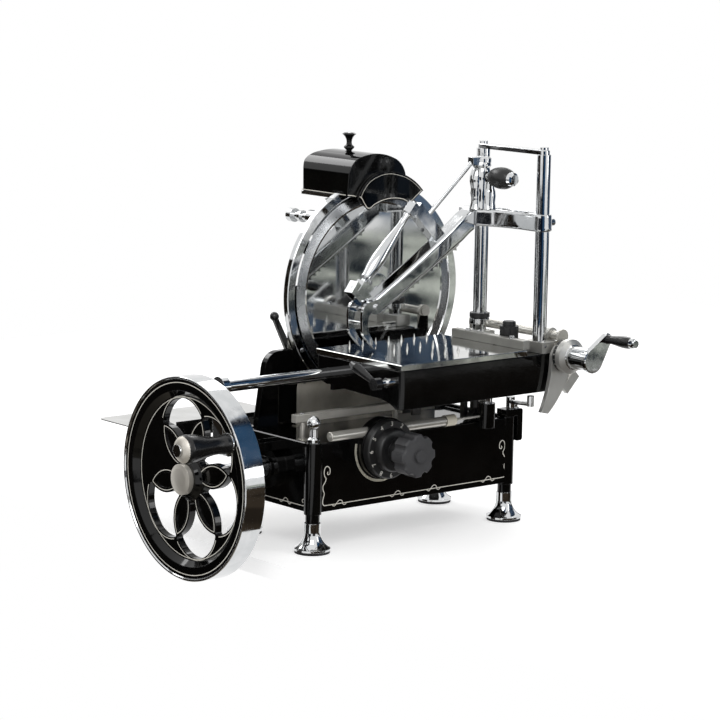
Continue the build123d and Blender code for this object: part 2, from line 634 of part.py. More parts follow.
with BuildPart() as base_brackets:
    # left bracket, behind the flywheel
    with BuildSketch(facing_y(BAR_Y + 12)):
        with BuildLine():
            Polyline((-BASE_X, 147.5), (-BASE_X, RIM_Z - 1), (-288, RIM_Z - 1), (-306, 178))
            Polyline((-306, 178), (-306, BAR_Z), (-318, BAR_Z), (-318, 158), (-308, 147.5), (-BASE_X, 147.5))
        make_face()
    extrude(amount=24)
    rod_x(15.0, -318, -306, BAR_Y, BAR_Z)
    # right bracket
    with BuildSketch(facing_y(BAR_Y + 12)):
        Polygon(
            (BASE_X, 122), (BASE_X + 8, 122), (BASE_X + 8, BAR_Z), (BASE_X - 4, BAR_Z), (BASE_X - 4, 163), (BASE_X, 163),
            align=None,
        )
    extrude(amount=24)
    rod_x(15.0, BASE_X - 4, BASE_X + 8, BAR_Y, BAR_Z)
    rod_x(BAR_R + FIT, -317, BASE_X + 7, BAR_Y, BAR_Z, Mode.SUBTRACT)
    # trip post over the front right pillar
    with BuildSketch(facing_y(-71)):
        Polygon(
            (203.2, 124), (214, 124), (214, 174), (180, 174), (180, RIM_Z + 1), (203.2, RIM_Z + 1), align=None
        )
    extrude(amount=22)
    fillet(base_brackets.edges().filter_by(Axis.Y).filter_by_position(Axis.X, 213, 215), 4.0)
    rod_z(4.0, 160, 180, 198, -82, Mode.SUBTRACT)
    # stop knuckle of the dial linkage
    rod_z(14.0, 152, 190, KNUCKLE_X, RACK_Y)
    block(KNUCKLE_X - 20, KNUCKLE_X + 20, -BASE_Y, -60, 140, RIM_Z, Mode.SUBTRACT)
    rod_x(2.0 + 0.1, KNUCKLE_X - 20, KNUCKLE_X + 20, RACK_Y, RACK_Z, Mode.SUBTRACT)
save(base_brackets, "base_brackets")

with BuildPart() as roller_rail:
    block(-194, 188, RAIL_Y - 6, RAIL_Y + 6, RAIL_Z1 - 12, RAIL_Z1)
    chamfer(roller_rail.edges().filter_by(Axis.X), 1.0)
    for post_x in (-178, 0, 176):
        rod_z(4.0, DECK_Z, RAIL_Z1 - 11, post_x, RAIL_Y)
        rod_z(9.0, DECK_Z, DECK_Z + 4, post_x, RAIL_Y)
save(roller_rail, "roller_rail")

# ================================================================ carriage
with BuildPart() as carriage_body:
    block(CAR_X0, CAR_X1, CAR_Y0, CAR_Y1, CAR_Z0, CAR_Z1)
    fillet(carriage_body.edges().filter_by(Axis.Z), 7.0)
    chamfer(carriage_body.faces().sort_by(Axis.Z)[-1].edges(), 1.0)
    block(
        CAR_X0 + CAR_WALL, CAR_X1 - CAR_WALL, CAR_Y0 + CAR_WALL, CAR_Y1 - CAR_WALL,
        CAR_Z0 - 1, CAR_Z1 - CAR_WALL, Mode.SUBTRACT,
    )  # fmt: skip
    # the left end sweeps up towards the rear
    with BuildSketch(Plane.YZ.offset(CAR_X0 - 1)):
        with BuildLine():
            Spline((-176, CAR_Z0 - 1), (-110, 230), (-50, 232.5), (CAR_Y1 + 1, 240), tangents=[(1, 0.9), (1, 0.3)])
            Polyline((CAR_Y1 + 1, 240), (CAR_Y1 + 1, CAR_Z0 - 1), (-176, CAR_Z0 - 1))
        make_face()
    extrude(amount=30, mode=Mode.SUBTRACT)
    # bosses of the guide bar bushes
    for boss_x0, boss_x1 in ((CAR_X0, CAR_X0 + 18), (CAR_X1 - 18, CAR_X1)):
        rod_x(15.0, boss_x0, boss_x1, BAR_Y, BAR_Z)
        rod_x(BAR_R + RUN, boss_x0 - 1, boss_x1 + 1, BAR_Y, BAR_Z, Mode.SUBTRACT)
    # pivot of the release lever
    rod_x(4.0 + RUN, CAR_X0 - 1, CAR_X0 + 10, -172, 258, Mode.SUBTRACT)
save(carriage_body, "carriage_body")

ROLLER_X = 33.0
ROLLER_WHEEL_R = 8.6
ROLLER_Z = RAIL_Z1 + ROLLER_WHEEL_R + 0.3
hang_z = CAR_Z1 - CAR_WALL
with BuildPart() as carriage_hangers:
    # fork that straddles the rail
    block(ROLLER_X - 8, ROLLER_X + 8, RAIL_Y - 12, RAIL_Y + 8, CAR_Z0 - 2, hang_z)
    block(ROLLER_X - 8, ROLLER_X + 8, RAIL_Y - 12, RAIL_Y + 12, CAR_Z0 - 2, CAR_Z0 + 6)
    for cheek_y in (RAIL_Y - 12, RAIL_Y + 7.5):
        block(ROLLER_X - 8, ROLLER_X + 8, cheek_y, cheek_y + 4.5, 176, CAR_Z0)
    rod_y(3.0, RAIL_Y - 12, RAIL_Y + 12, ROLLER_X, ROLLER_Z)
    # yoke plate with its upright slot
    block(rocker_top_x - 14, rocker_top_x + 14, -58, -50, 160, hang_z)
    with BuildSketch(facing_y(-49, x=rocker_top_x, z=(160 + 214) / 2)):
        SlotCenterToCenter(40, 12, rotation=90)
    extrude(amount=10, mode=Mode.SUBTRACT)
save(carriage_hangers, "carriage_hangers")

with BuildPart() as roller:
    rod_y(ROLLER_WHEEL_R, RAIL_Y - 7, RAIL_Y + 7, ROLLER_X, ROLLER_Z)
    rod_y(3.0 + RUN, RAIL_Y - 8, RAIL_Y + 8, ROLLER_X, ROLLER_Z, Mode.SUBTRACT)
    chamfer(roller.edges().filter_by(GeomType.CIRCLE).group_by(SortBy.RADIUS)[-1], 0.8)
save(roller, "roller")

GUIDE_X = 200.0
GUIDE_Z = 299.0
GUIDE_R = 7.0
FRONT_Y0 = CAR_Y0 - 4.5
with BuildPart() as feed_bracket:
    # plate on the right end with the two bearings of the feed screw
    block(CAR_X1, CAR_X1 + 4.5, FRONT_Y0, CAR_Y1, 228, 258)
    rod_x(BAR_R + 2, CAR_X1 - 1, CAR_X1 + 6, BAR_Y, BAR_Z, Mode.SUBTRACT)
    block(CAR_X1, 207, FRONT_Y0, CAR_Y0 - 1, 228, 290)
    rod_y(14.0, FRONT_Y0, CAR_Y0 - 1, SCREW_X, SCREW_Z)
    rod_y(11.0, FRONT_Y0, CAR_Y0 - 1, GUIDE_X, GUIDE_Z)
    block(CAR_X1, 204, -88, -82, 228, SCREW_Z)
    rod_y(10.0, -88, -82, SCREW_X, SCREW_Z)
    rod_y(SCREW_R + RUN, FRONT_Y0 - 1, -81, SCREW_X, SCREW_Z, Mode.SUBTRACT)
    # rear post of the table guide bar
    with BuildSketch(facing_y(CAR_Y1)):
        Polygon(
            (CAR_X1, 240), (208, 240), (208, GUIDE_Z), (190.5, GUIDE_Z), (190.5, 272), (CAR_X1, 272), align=None
        )
    extrude(amount=6)
    rod_y(11.0, CAR_Y1 - 6, CAR_Y1, GUIDE_X, GUIDE_Z)
    rod_y(GUIDE_R + FIT, FRONT_Y0 + 1.5, CAR_Y1 + 1, GUIDE_X, GUIDE_Z, Mode.SUBTRACT)
save(feed_bracket, "feed_bracket")

with BuildPart() as table_guide_bar:
    rod_y(GUIDE_R, FRONT_Y0 + 1.5, CAR_Y1 + 2, GUIDE_X, GUIDE_Z)
save(table_guide_bar, "table_guide_bar")

RELEASE_Y = -172.0
RELEASE_Z = 258.0
RELEASE_X = CAR_X0 - 34
with BuildPart() as release_lever:
    rod_x(4.0, RELEASE_X, CAR_X0 + 5, RELEASE_Y, RELEASE_Z)
    rod_x(6.5, CAR_X0 - 16, CAR_X0 - GAP, RELEASE_Y, RELEASE_Z)
    rod_x(9.0, RELEASE_X - 6, RELEASE_X + 6, RELEASE_Y, RELEASE_Z)
    grip_plane = Plane(origin=(RELEASE_X, RELEASE_Y, RELEASE_Z), x_dir=(1, 0, 0), z_dir=(0, 52, 21))
    with BuildSketch(grip_plane.offset(6)):
        Circle(4.0)
    with BuildSketch(grip_plane.offset(48)):
        Circle(8.0)
    loft()
    with BuildSketch(grip_plane.offset(48)):
        Circle(8.0)
    with BuildSketch(grip_plane.offset(60)):
        Circle(4.5)
    loft()
save(release_lever, "release_lever")

# ================================================================ meat table with spikes
SPIKE_H = 9.0
SPIKE_PITCH = 25.5
spike_rows = ((-10.0, -66.0, 7), (-75.0, -34.0, 5), (-133.0, -10.0, 3))
with BuildPart() as meat_table:
    block(CAR_X0, TABLE_X1, CAR_Y0, CAR_Y1 - 1, TABLE_Z0, TABLE_Z1)
    block(TABLE_X1 - 1, COL_X - 14, -140, -14, TABLE_Z0, TABLE_Z1)
    chamfer(meat_table.faces().sort_by(Axis.Z)[-1].edges(), 0.8)
    # slot of the fence screw
    with BuildSketch(Plane.XY.offset(TABLE_Z1)):
        with Locations((141.5, -120)):
            SlotCenterToCenter(28, 8)
    extrude(amount=-10, mode=Mode.SUBTRACT)
    for row_y, row_x, count in spike_rows:
        for n in range(count):
            with Locations((row_x + SPIKE_PITCH * n, row_y, TABLE_Z1 + SPIKE_H / 2)):
                Cone(2.2, 0.3, SPIKE_H)
save(meat_table, "meat_table")

with BuildPart() as column_blocks:
    block(162, 196, CAR_Y0, -147, TABLE_Z0, BLOCK_Z1)
    block(CAR_X1 + GAP, 203.4, CAR_Y0, -147, 262, 284)
    block(COL_X - 14, COL_X + 14, -53, -13, TABLE_Z0, BLOCK_Z1)
    block(COL_X - 9, COL_X + 9, -148, -52, TABLE_Z0, BLOCK_Z1 - 4)
    rod_y(11.0, -168, -150, GUIDE_X, GUIDE_Z)
    block(189, 196, -168, -150, BLOCK_Z1 - 2, GUIDE_Z)
    rod_y(GUIDE_R + RUN, -169, -149, GUIDE_X, GUIDE_Z, Mode.SUBTRACT)
    fillet(column_blocks.edges().filter_by(Axis.Z).group_by(Axis.X)[0], 1.5)
    for col_y in (COL_A_Y, COL_B_Y):
        rod_z(COL_R + FIT, TABLE_Z0 + 3, BLOCK_Z1 + 1, COL_X, col_y, Mode.SUBTRACT)
    rod_y(SCREW_R + RUN, CAR_Y0 - 1, -146, SCREW_X, SCREW_Z, Mode.SUBTRACT)
save(column_blocks, "column_blocks")

with BuildPart() as columns:
    for col_y in (COL_A_Y, COL_B_Y):
        rod_z(COL_R, TABLE_Z0 + 3, COL_TOP, COL_X, col_y)
    rod_z(15.0, 302, 310, COL_X, COL_A_Y)
    rod_z(15.5, 312, 319, COL_X, COL_A_Y)
    rod_z(13.0, 310, 312, COL_X, COL_A_Y)
save(columns, "columns")

with BuildPart() as top_bar:
    with BuildSketch(Plane.XY.offset(COL_TOP)):
        with Locations((COL_X, (COL_A_Y + COL_B_Y) / 2)):
            SlotCenterToCenter(COL_A_Y - COL_B_Y, 17, rotation=90)
    extrude(amount=7)
    chamfer(top_bar.faces().sort_by(Axis.Z)[-1].edges(), 1.0)
    for col_y in (COL_A_Y, COL_B_Y):
        with Locations((COL_X, col_y, COL_TOP + 9)):
            Cylinder(6.5, 4)
save(top_bar, "top_bar")

# ================================================================ feed screw, ring, crank and ratchet arm
RATCHET_Y0 = FRONT_Y0 - GAP - 7
RING_Y_END = RATCHET_Y0 - GAP - 8.5
DISC_END = RING_Y_END - 14
CYL_END = DISC_END - 36
PLATE_END = CYL_END - 7
GRIP_END = PLATE_END - 58
THREAD_Y0 = -186.0
with BuildPart() as feed_screw:
    rod_y(SCREW_R, CYL_END, -82, SCREW_X, SCREW_Z)
save(feed_screw, "feed_screw")

with BuildPart() as feed_ring:
    rod_y(24.0, RING_Y_END, RATCHET_Y0 - GAP, SCREW_X, SCREW_Z)
    chamfer(feed_ring.edges().filter_by(GeomType.CIRCLE), 0.8)
    rod_y(SCREW_R + FIT, RING_Y_END - 1, RATCHET_Y0, SCREW_X, SCREW_Z, Mode.SUBTRACT)
save(feed_ring, "feed_ring")

crank_dx, crank_dz = polar(CRANK_ARM_R, CRANK_ARM_ANGLE)
crank_end_x = SCREW_X + crank_dx
crank_end_z = SCREW_Z + crank_dz
with BuildPart() as feed_crank:
    with BuildSketch(Plane(origin=(SCREW_X, RING_Y_END, SCREW_Z), x_dir=(1, 0, 0), z_dir=(0, 0, 1))):
        with BuildLine():
            Polyline((SCREW_R + FIT, 0), (26, 0), (26, -9), (19, -14), (17, -15), (17, -50), (SCREW_R + FIT, -50))
            Line((SCREW_R + FIT, -50), (SCREW_R + FIT, 0))
        make_face()
    revolve(axis=Axis((SCREW_X, 0, SCREW_Z), (0, 1, 0)))
    # pear shaped arm
    with BuildSketch(facing_y(CYL_END, x=SCREW_X, z=SCREW_Z)):
        Circle(19.0)
        with Locations((crank_dx, crank_dz)):
            Circle(9.0)
        spread = asin((19.0 - 9.0) / CRANK_ARM_R)
        normals = [radians(CRANK_ARM_ANGLE) + pi / 2 - spread, radians(CRANK_ARM_ANGLE) - pi / 2 + spread]
        low = [(19.0 * cos(a), 19.0 * sin(a)) for a in normals]
        high = [(crank_dx + 9.0 * cos(a), crank_dz + 9.0 * sin(a)) for a in reversed(normals)]
        Polygon(*low, *high, align=None)
    extrude(amount=7)
    chamfer(feed_crank.faces().sort_by(Axis.Y)[0].edges(), 1.2)
    rod_y(4.0, GRIP_END + 4, PLATE_END + 2, crank_end_x, crank_end_z)
    rod_y(5.5, GRIP_END, GRIP_END + 4, crank_end_x, crank_end_z)
save(feed_crank, "feed_crank")

with BuildPart() as crank_grip:
    grip_top = PLATE_END - GAP
    grip_low = GRIP_END + 4 + GAP
    with BuildSketch(Plane(origin=(crank_end_x, 0, crank_end_z), x_dir=(1, 0, 0), z_dir=(0, 0, 1))):
        with BuildLine():
            Polyline((4 + RUN, grip_top), (7.0, grip_top), (6.2, grip_top - 8))
            Spline((6.2, grip_top - 8), (9.0, grip_top - 36), (6.5, grip_low), tangents=[(0.1, -1), (-0.4, -1)])
            Polyline((6.5, grip_low), (4 + RUN, grip_low), (4 + RUN, grip_top))
        make_face()
    revolve(axis=Axis((crank_end_x, 0, crank_end_z), (0, 1, 0)))
save(crank_grip, "crank_grip")

with BuildPart() as ratchet_arm:
    with BuildSketch(facing_y(FRONT_Y0 - GAP)):
        with BuildLine():
            Line((SCREW_X - 22, SCREW_Z - 4), (SCREW_X + 22, SCREW_Z - 4))
            ThreePointArc((SCREW_X + 22, SCREW_Z - 4), (SCREW_X, SCREW_Z + 18), (SCREW_X - 22, SCREW_Z - 4))
        make_face()
        with BuildLine():
            Line((SCREW_X - 22, SCREW_Z - 4), (SCREW_X + 22, SCREW_Z - 4))
            ThreePointArc((SCREW_X + 22, SCREW_Z - 4), (SCREW_X + 6, 228), (166, 186))
            Line((166, 186), (152, 189))
            ThreePointArc((152, 189), (166, 226), (SCREW_X - 22, SCREW_Z - 4))
        make_face()
        with Locations((SCREW_X, SCREW_Z)):
            Circle(SCREW_R + RUN, mode=Mode.SUBTRACT)
    extrude(amount=7)
    # pawl block on the arm
    with BuildSketch(Plane(origin=(212, RATCHET_Y0, 230), x_dir=(cos(0.8), 0, sin(0.8)), z_dir=(0, -1, 0))):
        Rectangle(34, 15)
    extrude(amount=-7)
save(ratchet_arm, "ratchet_arm")

# ================================================================ trip finger
FINGER_R = 3.5
with BuildPart() as trip_finger:
    strut(FINGER_R, (198, -82, 184), (147, -182, 200))
    rod_z(3.95, 164, 192, 198, -82)
    rod_z(7.0, 174 + GAP, 192, 198, -82)
    rod_z(5.5, 196, 212, 149, -178)
save(trip_finger, "trip_finger")

# ================================================================ clamp
with BuildPart() as clamp_head:
    with BuildSketch(Plane.XY.offset(HEAD_Z0)):
        with BuildLine():
            Polyline((HEAD_X0, -19), (HEAD_X0, -60))
            ThreePointArc((HEAD_X0, -60), (154, -101), (160, -150))
            Line((160, -150), (160, COL_B_Y))
            ThreePointArc((160, COL_B_Y), (COL_X, COL_B_Y - 14), (188, COL_B_Y))
            Polyline((188, COL_B_Y), (188, -19), (HEAD_X0, -19))
        make_face()
    extrude(amount=HEAD_Z1 - HEAD_Z0)
    chamfer(clamp_head.faces().sort_by(Axis.Z)[-1].edges(), 1.0)
    with BuildSketch(Plane.XY.offset(HEAD_Z1)):
        with Locations((COL_X - 2, -105)):
            RectangleRounded(20, 82, 5)
    extrude(amount=-7, mode=Mode.SUBTRACT)
    # clamp screw of the front column
    rod_x(6.5, 187, 197, COL_B_Y, 470)
    for boss_y in (COL_A_Y, COL_B_Y):
        rod_z(COL_R + RUN, HEAD_Z0 - 1, HEAD_Z1 + 1, COL_X, boss_y, Mode.SUBTRACT)
save(clamp_head, "clamp_head")

KNOB_Y0 = TOWER_Y - 21
with BuildPart() as clamp_tower:
    with BuildSketch(facing_y(TOWER_Y, x=TOWER_X)):
        with BuildLine():
            Polyline((0, HEAD_Z1), (11, HEAD_Z1), (9.5, HEAD_Z1 + 8))
            Spline((9.5, HEAD_Z1 + 8), (11.5, 518), (12.5, 538), (8.5, 551), tangents=[(0.1, 1), (-0.5, 1)])
            Polyline((8.5, 551), (13, 554), (13, 560), (9, 563), (0, 563), (0, HEAD_Z1))
        make_face()
    revolve(axis=Axis((TOWER_X, TOWER_Y, 0), (0, 0, 1)))
    rod_y(5.0, KNOB_Y0 - 18, TOWER_Y, TOWER_X, KNOB_Z)
    block(TOWER_X - 16, TOWER_X, TOWER_Y - 6, TOWER_Y + 6, 550, 562)
save(clamp_tower, "clamp_tower")

with BuildPart() as clamp_knob:
    knob_end = KNOB_Y0 - 50
    with BuildSketch(Plane(origin=(TOWER_X, 0, KNOB_Z), x_dir=(1, 0, 0), z_dir=(0, 0, 1))):
        with BuildLine():
            Line((5 + RUN, KNOB_Y0), (10, KNOB_Y0))
            Spline(
                (10, KNOB_Y0), (16, KNOB_Y0 - 16), (15, KNOB_Y0 - 34), (10.5, KNOB_Y0 - 42),
                tangents=[(0.8, -1), (-0.8, -1)],
            )  # fmt: skip
            Polyline((10.5, KNOB_Y0 - 42), (10, knob_end + 2), (7, knob_end), (0, knob_end))
            Polyline((0, knob_end), (0, KNOB_Y0 - 19), (5 + RUN, KNOB_Y0 - 19), (5 + RUN, KNOB_Y0))
        make_face()
    revolve(axis=Axis((TOWER_X, 0, KNOB_Z), (0, 1, 0)))
save(clamp_knob, "clamp_knob")

PIVOT = (-60.0, 349.0)
PIVOT_R = 4.0
ARM_Y1 = CLAMP_Y + ARM_W / 2
ARM_Y0 = CLAMP_Y - ARM_W / 2
STRIP_A = (-14.0, 357.0)
STRIP_B = (112.0, 434.0)
with BuildPart() as clamp_arm:
    with BuildSketch(facing_y(ARM_Y1)):
        with BuildLine():
            Spline(
                (HEAD_X0, 483), (112, 470), (78, 446), (-29, 378), (-66, 357),
                tangents=[(-1, -0.15), (-1, -0.55)],
            )  # fmt: skip
            Polyline((-66, 357), (-72, 345), (-62, 336), (-48, 337), STRIP_A, STRIP_B)
            Spline(STRIP_B, (HEAD_X0, HEAD_Z0 - 6), tangents=[(126, 77), (1, 0.35)])
            Line((HEAD_X0, HEAD_Z0 - 6), (HEAD_X0, 483))
        make_face()
    extrude(amount=ARM_W)
    rod_y(PIVOT_R + RUN, ARM_Y0 - 1, ARM_Y1 + 1, PIVOT[0], PIVOT[1], Mode.SUBTRACT)
save(clamp_arm, "clamp_arm")

# direction of the upper rod and square to it, in the plane of the clamp
ROD_DIR = (0.659, 0.752)
ROD_TOP = (24.0, 493.0)
ROD_LOW = (-84.0, 370.0)
with BuildPart() as clamp_brace:
    along_x = 10 * ROD_DIR[0]
    along_z = 10 * ROD_DIR[1]
    with BuildSketch(facing_y(CLAMP_Y + 9)):
        Polygon(
            (80 - along_x, 434 - along_z), (80 + along_x, 434 + along_z),
            (26 + along_x, 490 + along_z), (26 - along_x, 490 - along_z), align=None,
        )  # fmt: skip
        Polygon((-100, 372), (-88, 388), (-48, 352), (-60, 336), align=None)
    extrude(amount=18)
    strut(4.5, (ROD_LOW[0], CLAMP_Y, ROD_LOW[1]), (ROD_TOP[0], CLAMP_Y, ROD_TOP[1]))
    for nut_x, nut_z in ((ROD_TOP[0] - 5, ROD_TOP[1] - 5.7), (ROD_LOW[0] + 6, ROD_LOW[1] + 6.8)):
        with BuildSketch(Plane(origin=(nut_x, CLAMP_Y, nut_z), z_dir=(ROD_DIR[0], 0, ROD_DIR[1]))):
            RegularPolygon(11, 6)
        extrude(amount=9, both=True)
    # stay up to the tower, with its eye
    strut(3.5, (TOWER_X - 20, TOWER_Y + 1, 556), (46, CLAMP_Y, 470))
    block(TOWER_X - 25, TOWER_X - 16, TOWER_Y - 6, TOWER_Y + 6, 550, 562)
    add(clamp_arm.part, mode=Mode.SUBTRACT)
    rod_y(14.5, ARM_Y0 - 1, ARM_Y1 + 1, PIVOT[0], PIVOT[1], Mode.SUBTRACT)
save(clamp_brace, "clamp_brace")

with BuildPart() as toothed_strip:
    strip_len = hypot(STRIP_B[0] - STRIP_A[0], STRIP_B[1] - STRIP_A[1])
    strip_dir = ((STRIP_B[0] - STRIP_A[0]) / strip_len, (STRIP_B[1] - STRIP_A[1]) / strip_len)
    strip_plane = Plane(
        origin=(STRIP_A[0], CLAMP_Y + 3, STRIP_A[1]), x_dir=(strip_dir[0], 0, strip_dir[1]), z_dir=(0, -1, 0)
    )
    teeth = 13
    pitch = (strip_len - 6) / teeth
    edge = [(0, -3.0)]
    for n in range(teeth):
        edge += [(3 + pitch * n, -6.5), (3 + pitch * (n + 0.5), -11.0), (3 + pitch * (n + 0.62), -6.5)]
    edge += [(strip_len, -6.5), (strip_len, -3.0)]
    with BuildSketch(strip_plane):
        Polygon(*edge, align=None)
        for foot in (8, strip_len / 2, strip_len - 8):
            with Locations((foot, -2.0)):
                Rectangle(10, 4)
    extrude(amount=6)
save(toothed_strip, "toothed_strip")

with BuildPart() as claw:
    for finger_y in (ARM_Y0 - 5 - GAP, ARM_Y1 + GAP):
        with BuildSketch(facing_y(finger_y + 5)):
            with Locations(PIVOT):
                Circle(11.0)
            with BuildLine():
                Spline((-66, 358), (-86, 344), (-86, 318), (-64, 287), tangents=[(-1, 0), (1, -1)])
                Line((-64, 287), (-58, 291))
                Spline((-58, 291), (-75, 318), (-72, 339), (-62, 342), tangents=[(-0.8, 1), (1, 0)])
                Line((-62, 342), (-66, 358))
            make_face()
        extrude(amount=5)
    rod_y(PIVOT_R, ARM_Y0 - 9, ARM_Y1 + 9, PIVOT[0], PIVOT[1])
    rod_y(3.0, ARM_Y0 - 1, ARM_Y1 + 1, -82.5, 326)
save(claw, "claw")

# ================================================================ fence on the meat table
FENCE_KNOB_X = 155.5
FENCE_KNOB_Y = -120.0
FENCE_Z0 = TABLE_Z1 + 0.3
TAB_Z = 290.2

with BuildPart() as fence_bar:
    block(127, 140, -182, -22, FENCE_Z0, 297)
    chamfer(fence_bar.faces().sort_by(Axis.Z)[-1].edges(), 1.0)
    block(139, 162.5, -134, -106, FENCE_Z0, TAB_Z)
    # stud through the table's slot, which the knob turns on
    rod_z(3.45, 276.5, 305, FENCE_KNOB_X, FENCE_KNOB_Y)
save(fence_bar, "fence_bar")

with BuildPart() as fence_knob:
    with BuildSketch(Plane.XY.offset(TAB_Z + GAP)):
        with Locations((FENCE_KNOB_X, FENCE_KNOB_Y)):
            Circle(14.2)
            with PolarLocations(16.0, 12):
                Circle(2.4, mode=Mode.SUBTRACT)
    extrude(amount=20)
    rod_z(10.0, 310, 318, FENCE_KNOB_X, FENCE_KNOB_Y)
    chamfer(fence_knob.faces().sort_by(Axis.Z)[-1].edges(), 1.5)
    rod_z(3.45 + RUN, 288, 306, FENCE_KNOB_X, FENCE_KNOB_Y, Mode.SUBTRACT)
save(fence_knob, "fence_knob")

# ================================================================ sharpener
SPINDLE_X = -55.0
SPINDLE_Z = 466.0
with BuildPart() as sharpener_bracket:
    with BuildSketch(facing_y(RING_Y1 + 6)):
        Polygon(
            (-78, 450), (-62, 436), (-2, 484), (100, 484), (100, SHELF_Z), (80, SHELF_Z), (80, 526),
            (12, 526), (12, SHELF_Z), (-24, SHELF_Z), (-44, 494), align=None,
        )  # fmt: skip
    extrude(amount=6)
    block(-24, 91, RING_Y1 + 3, 162, SHELF_Z - 5, SHELF_Z)
    rod_y(12.0, RING_Y1, RING_Y1 + 22, SPINDLE_X, SPINDLE_Z)
    rod_y(6.0 + RUN, RING_Y1 + 1, RING_Y1 + 23, SPINDLE_X, SPINDLE_Z, Mode.SUBTRACT)
    # pins of the two stones
    rod_y(3.0, 56, RING_Y1 + 1, STONE_MID - 18, STONE_Z)
    rod_y(3.0, RING_Y1 - 5.5, RING_Y1 + 1, STONE_MID + 18, STONE_Z)
save(sharpener_bracket, "sharpener_bracket")

with BuildPart() as grinding_stone:
    rod_y(15.0, BLADE_Y + BLADE_T + 3, RING_Y1 - 1, STONE_MID + 18, STONE_Z)
    rod_y(3.0 + RUN, BLADE_Y, RING_Y1, STONE_MID + 18, STONE_Z, Mode.SUBTRACT)
save(grinding_stone, "grinding_stone")

with BuildPart() as honing_stone:
    rod_y(15.0, 57, 62, STONE_MID - 18, STONE_Z)
    rod_y(3.0 + RUN, 56, 63, STONE_MID - 18, STONE_Z, Mode.SUBTRACT)
save(honing_stone, "honing_stone")

with BuildPart() as sharpener_spindle:
    rod_y(6.0, RING_Y1 + 2, 150, SPINDLE_X, SPINDLE_Z)
    rod_y(9.0, 118, 124, SPINDLE_X, SPINDLE_Z)
    rod_y(10.5, 138, 150, SPINDLE_X, SPINDLE_Z)
    chamfer(sharpener_spindle.edges().filter_by(GeomType.CIRCLE).group_by(Axis.Y)[-1], 1.2)
save(sharpener_spindle, "sharpener_spindle")

COVER_T = 2.5
COVER_Y0 = 44.0
COVER_Y1 = 165.0


def loaf(inset):
    """The cover's cross section, drawn in by a distance at its sides and top."""
    side = inset * 0.7
    left = (-23 + inset, 530)
    crown_a = (6 + side, 560 - inset)
    crown_b = (66 - side, 555 - inset)
    right = (90 - inset, 528)
    with BuildSketch() as outline:
        with BuildLine():
            Line((-25 + inset, SHELF_Z), left)
            ThreePointArc(left, (-13 + side, 551 - side), crown_a)
            ThreePointArc(crown_a, (36, 562.5 - inset), crown_b)
            ThreePointArc(crown_b, (82 - side, 544 - side), right)
            Polyline(right, (92 - inset, SHELF_Z), (-25 + inset, SHELF_Z))
        make_face()
    return outline.sketch


with BuildSketch() as visor_outline:
    with BuildLine():
        ThreePointArc((-9, 496), (14, 526), (50, 535))
        ThreePointArc((50, 535), (90, 526), (121, 503))
        Line((121, 503), (95, 484))
        ThreePointArc((95, 484), (52, 491), (12, 478))
        Line((12, 478), (-9, 496))
    make_face()


with BuildPart() as sharpener_cover:
    with BuildSketch(facing_y(COVER_Y1)):
        add(loaf(0))
    extrude(amount=COVER_Y1 - COVER_Y0 - 6)
    # rear end rounded in side view and in plan
    with BuildSketch(Plane.YZ.offset(-40)):
        with BuildLine():
            Polyline((147, 564), (40, 564), (40, 490), (COVER_Y1, 490), (COVER_Y1, 544))
            ThreePointArc((COVER_Y1, 544), (160, 557), (147, 564))
        make_face()
    extrude(amount=150, mode=Mode.INTERSECT)
    with BuildSketch(Plane.XY.offset(490)):
        with Locations((33.5, COVER_Y1 - 75)):
            RectangleRounded(117, 150, 12)
    extrude(amount=80, mode=Mode.INTERSECT)
    with BuildSketch(facing_y(COVER_Y0 + 18)):
        add(visor_outline.sketch)
    extrude(amount=18)
    with BuildSketch(facing_y(COVER_Y1 - 6)):
        add(loaf(COVER_T + 1))
    extrude(amount=COVER_Y1 - COVER_Y0 - 15, mode=Mode.SUBTRACT)
    with BuildSketch(facing_y(COVER_Y0 + 22)):
        add(visor_outline.sketch)
        offset(amount=-COVER_T, kind=Kind.INTERSECTION)
    extrude(amount=22 - COVER_T, mode=Mode.SUBTRACT)
    rod_y(RING_R + 1.5, 61, RING_Y1 + 7, BLADE_X, BLADE_Z, Mode.SUBTRACT)
    # the visor is open below, so that it lifts off over the stones
    block(-30, 130, COVER_Y0 + COVER_T, 75, 470, SHELF_Z, Mode.SUBTRACT)
    # mushroom knob
    with BuildSketch(facing_y(107, x=24)):
        with BuildLine():
            Polyline((0, 560), (7, 560), (7, 562), (4, 564), (8, 568), (8, 570), (4.5, 573))
            ThreePointArc((4.5, 573), (5.6, 583), (11, 589))
            Polyline((11, 589), (8, 591), (0, 592), (0, 560))
        make_face()
    revolve(axis=Axis((24, 107, 0), (0, 0, 1)))
save(sharpener_cover, "sharpener_cover")

# ================================================================ thickness dial, rack bar
RING_FRONT = BULGE_Y - GAP - 12.5
with BuildPart() as dial_ring:
    rod_y(DIAL_R, RING_FRONT, BULGE_Y - GAP, DIAL_X, DIAL_Z)
    chamfer(dial_ring.faces().sort_by(Axis.Y)[0].edges(), 2.0)
    with BuildSketch(facing_y(-BASE_Y - 3, x=DIAL_X, z=DIAL_Z)):
        Polygon(*[polar(PINION_R - 1.6 * (n % 2), 7.5 * n) for n in range(48)], align=None)
    extrude(amount=8)
    rod_y(6.0, BULGE_Y, -inner_y + 4, DIAL_X, DIAL_Z)
save(dial_ring, "dial_ring")

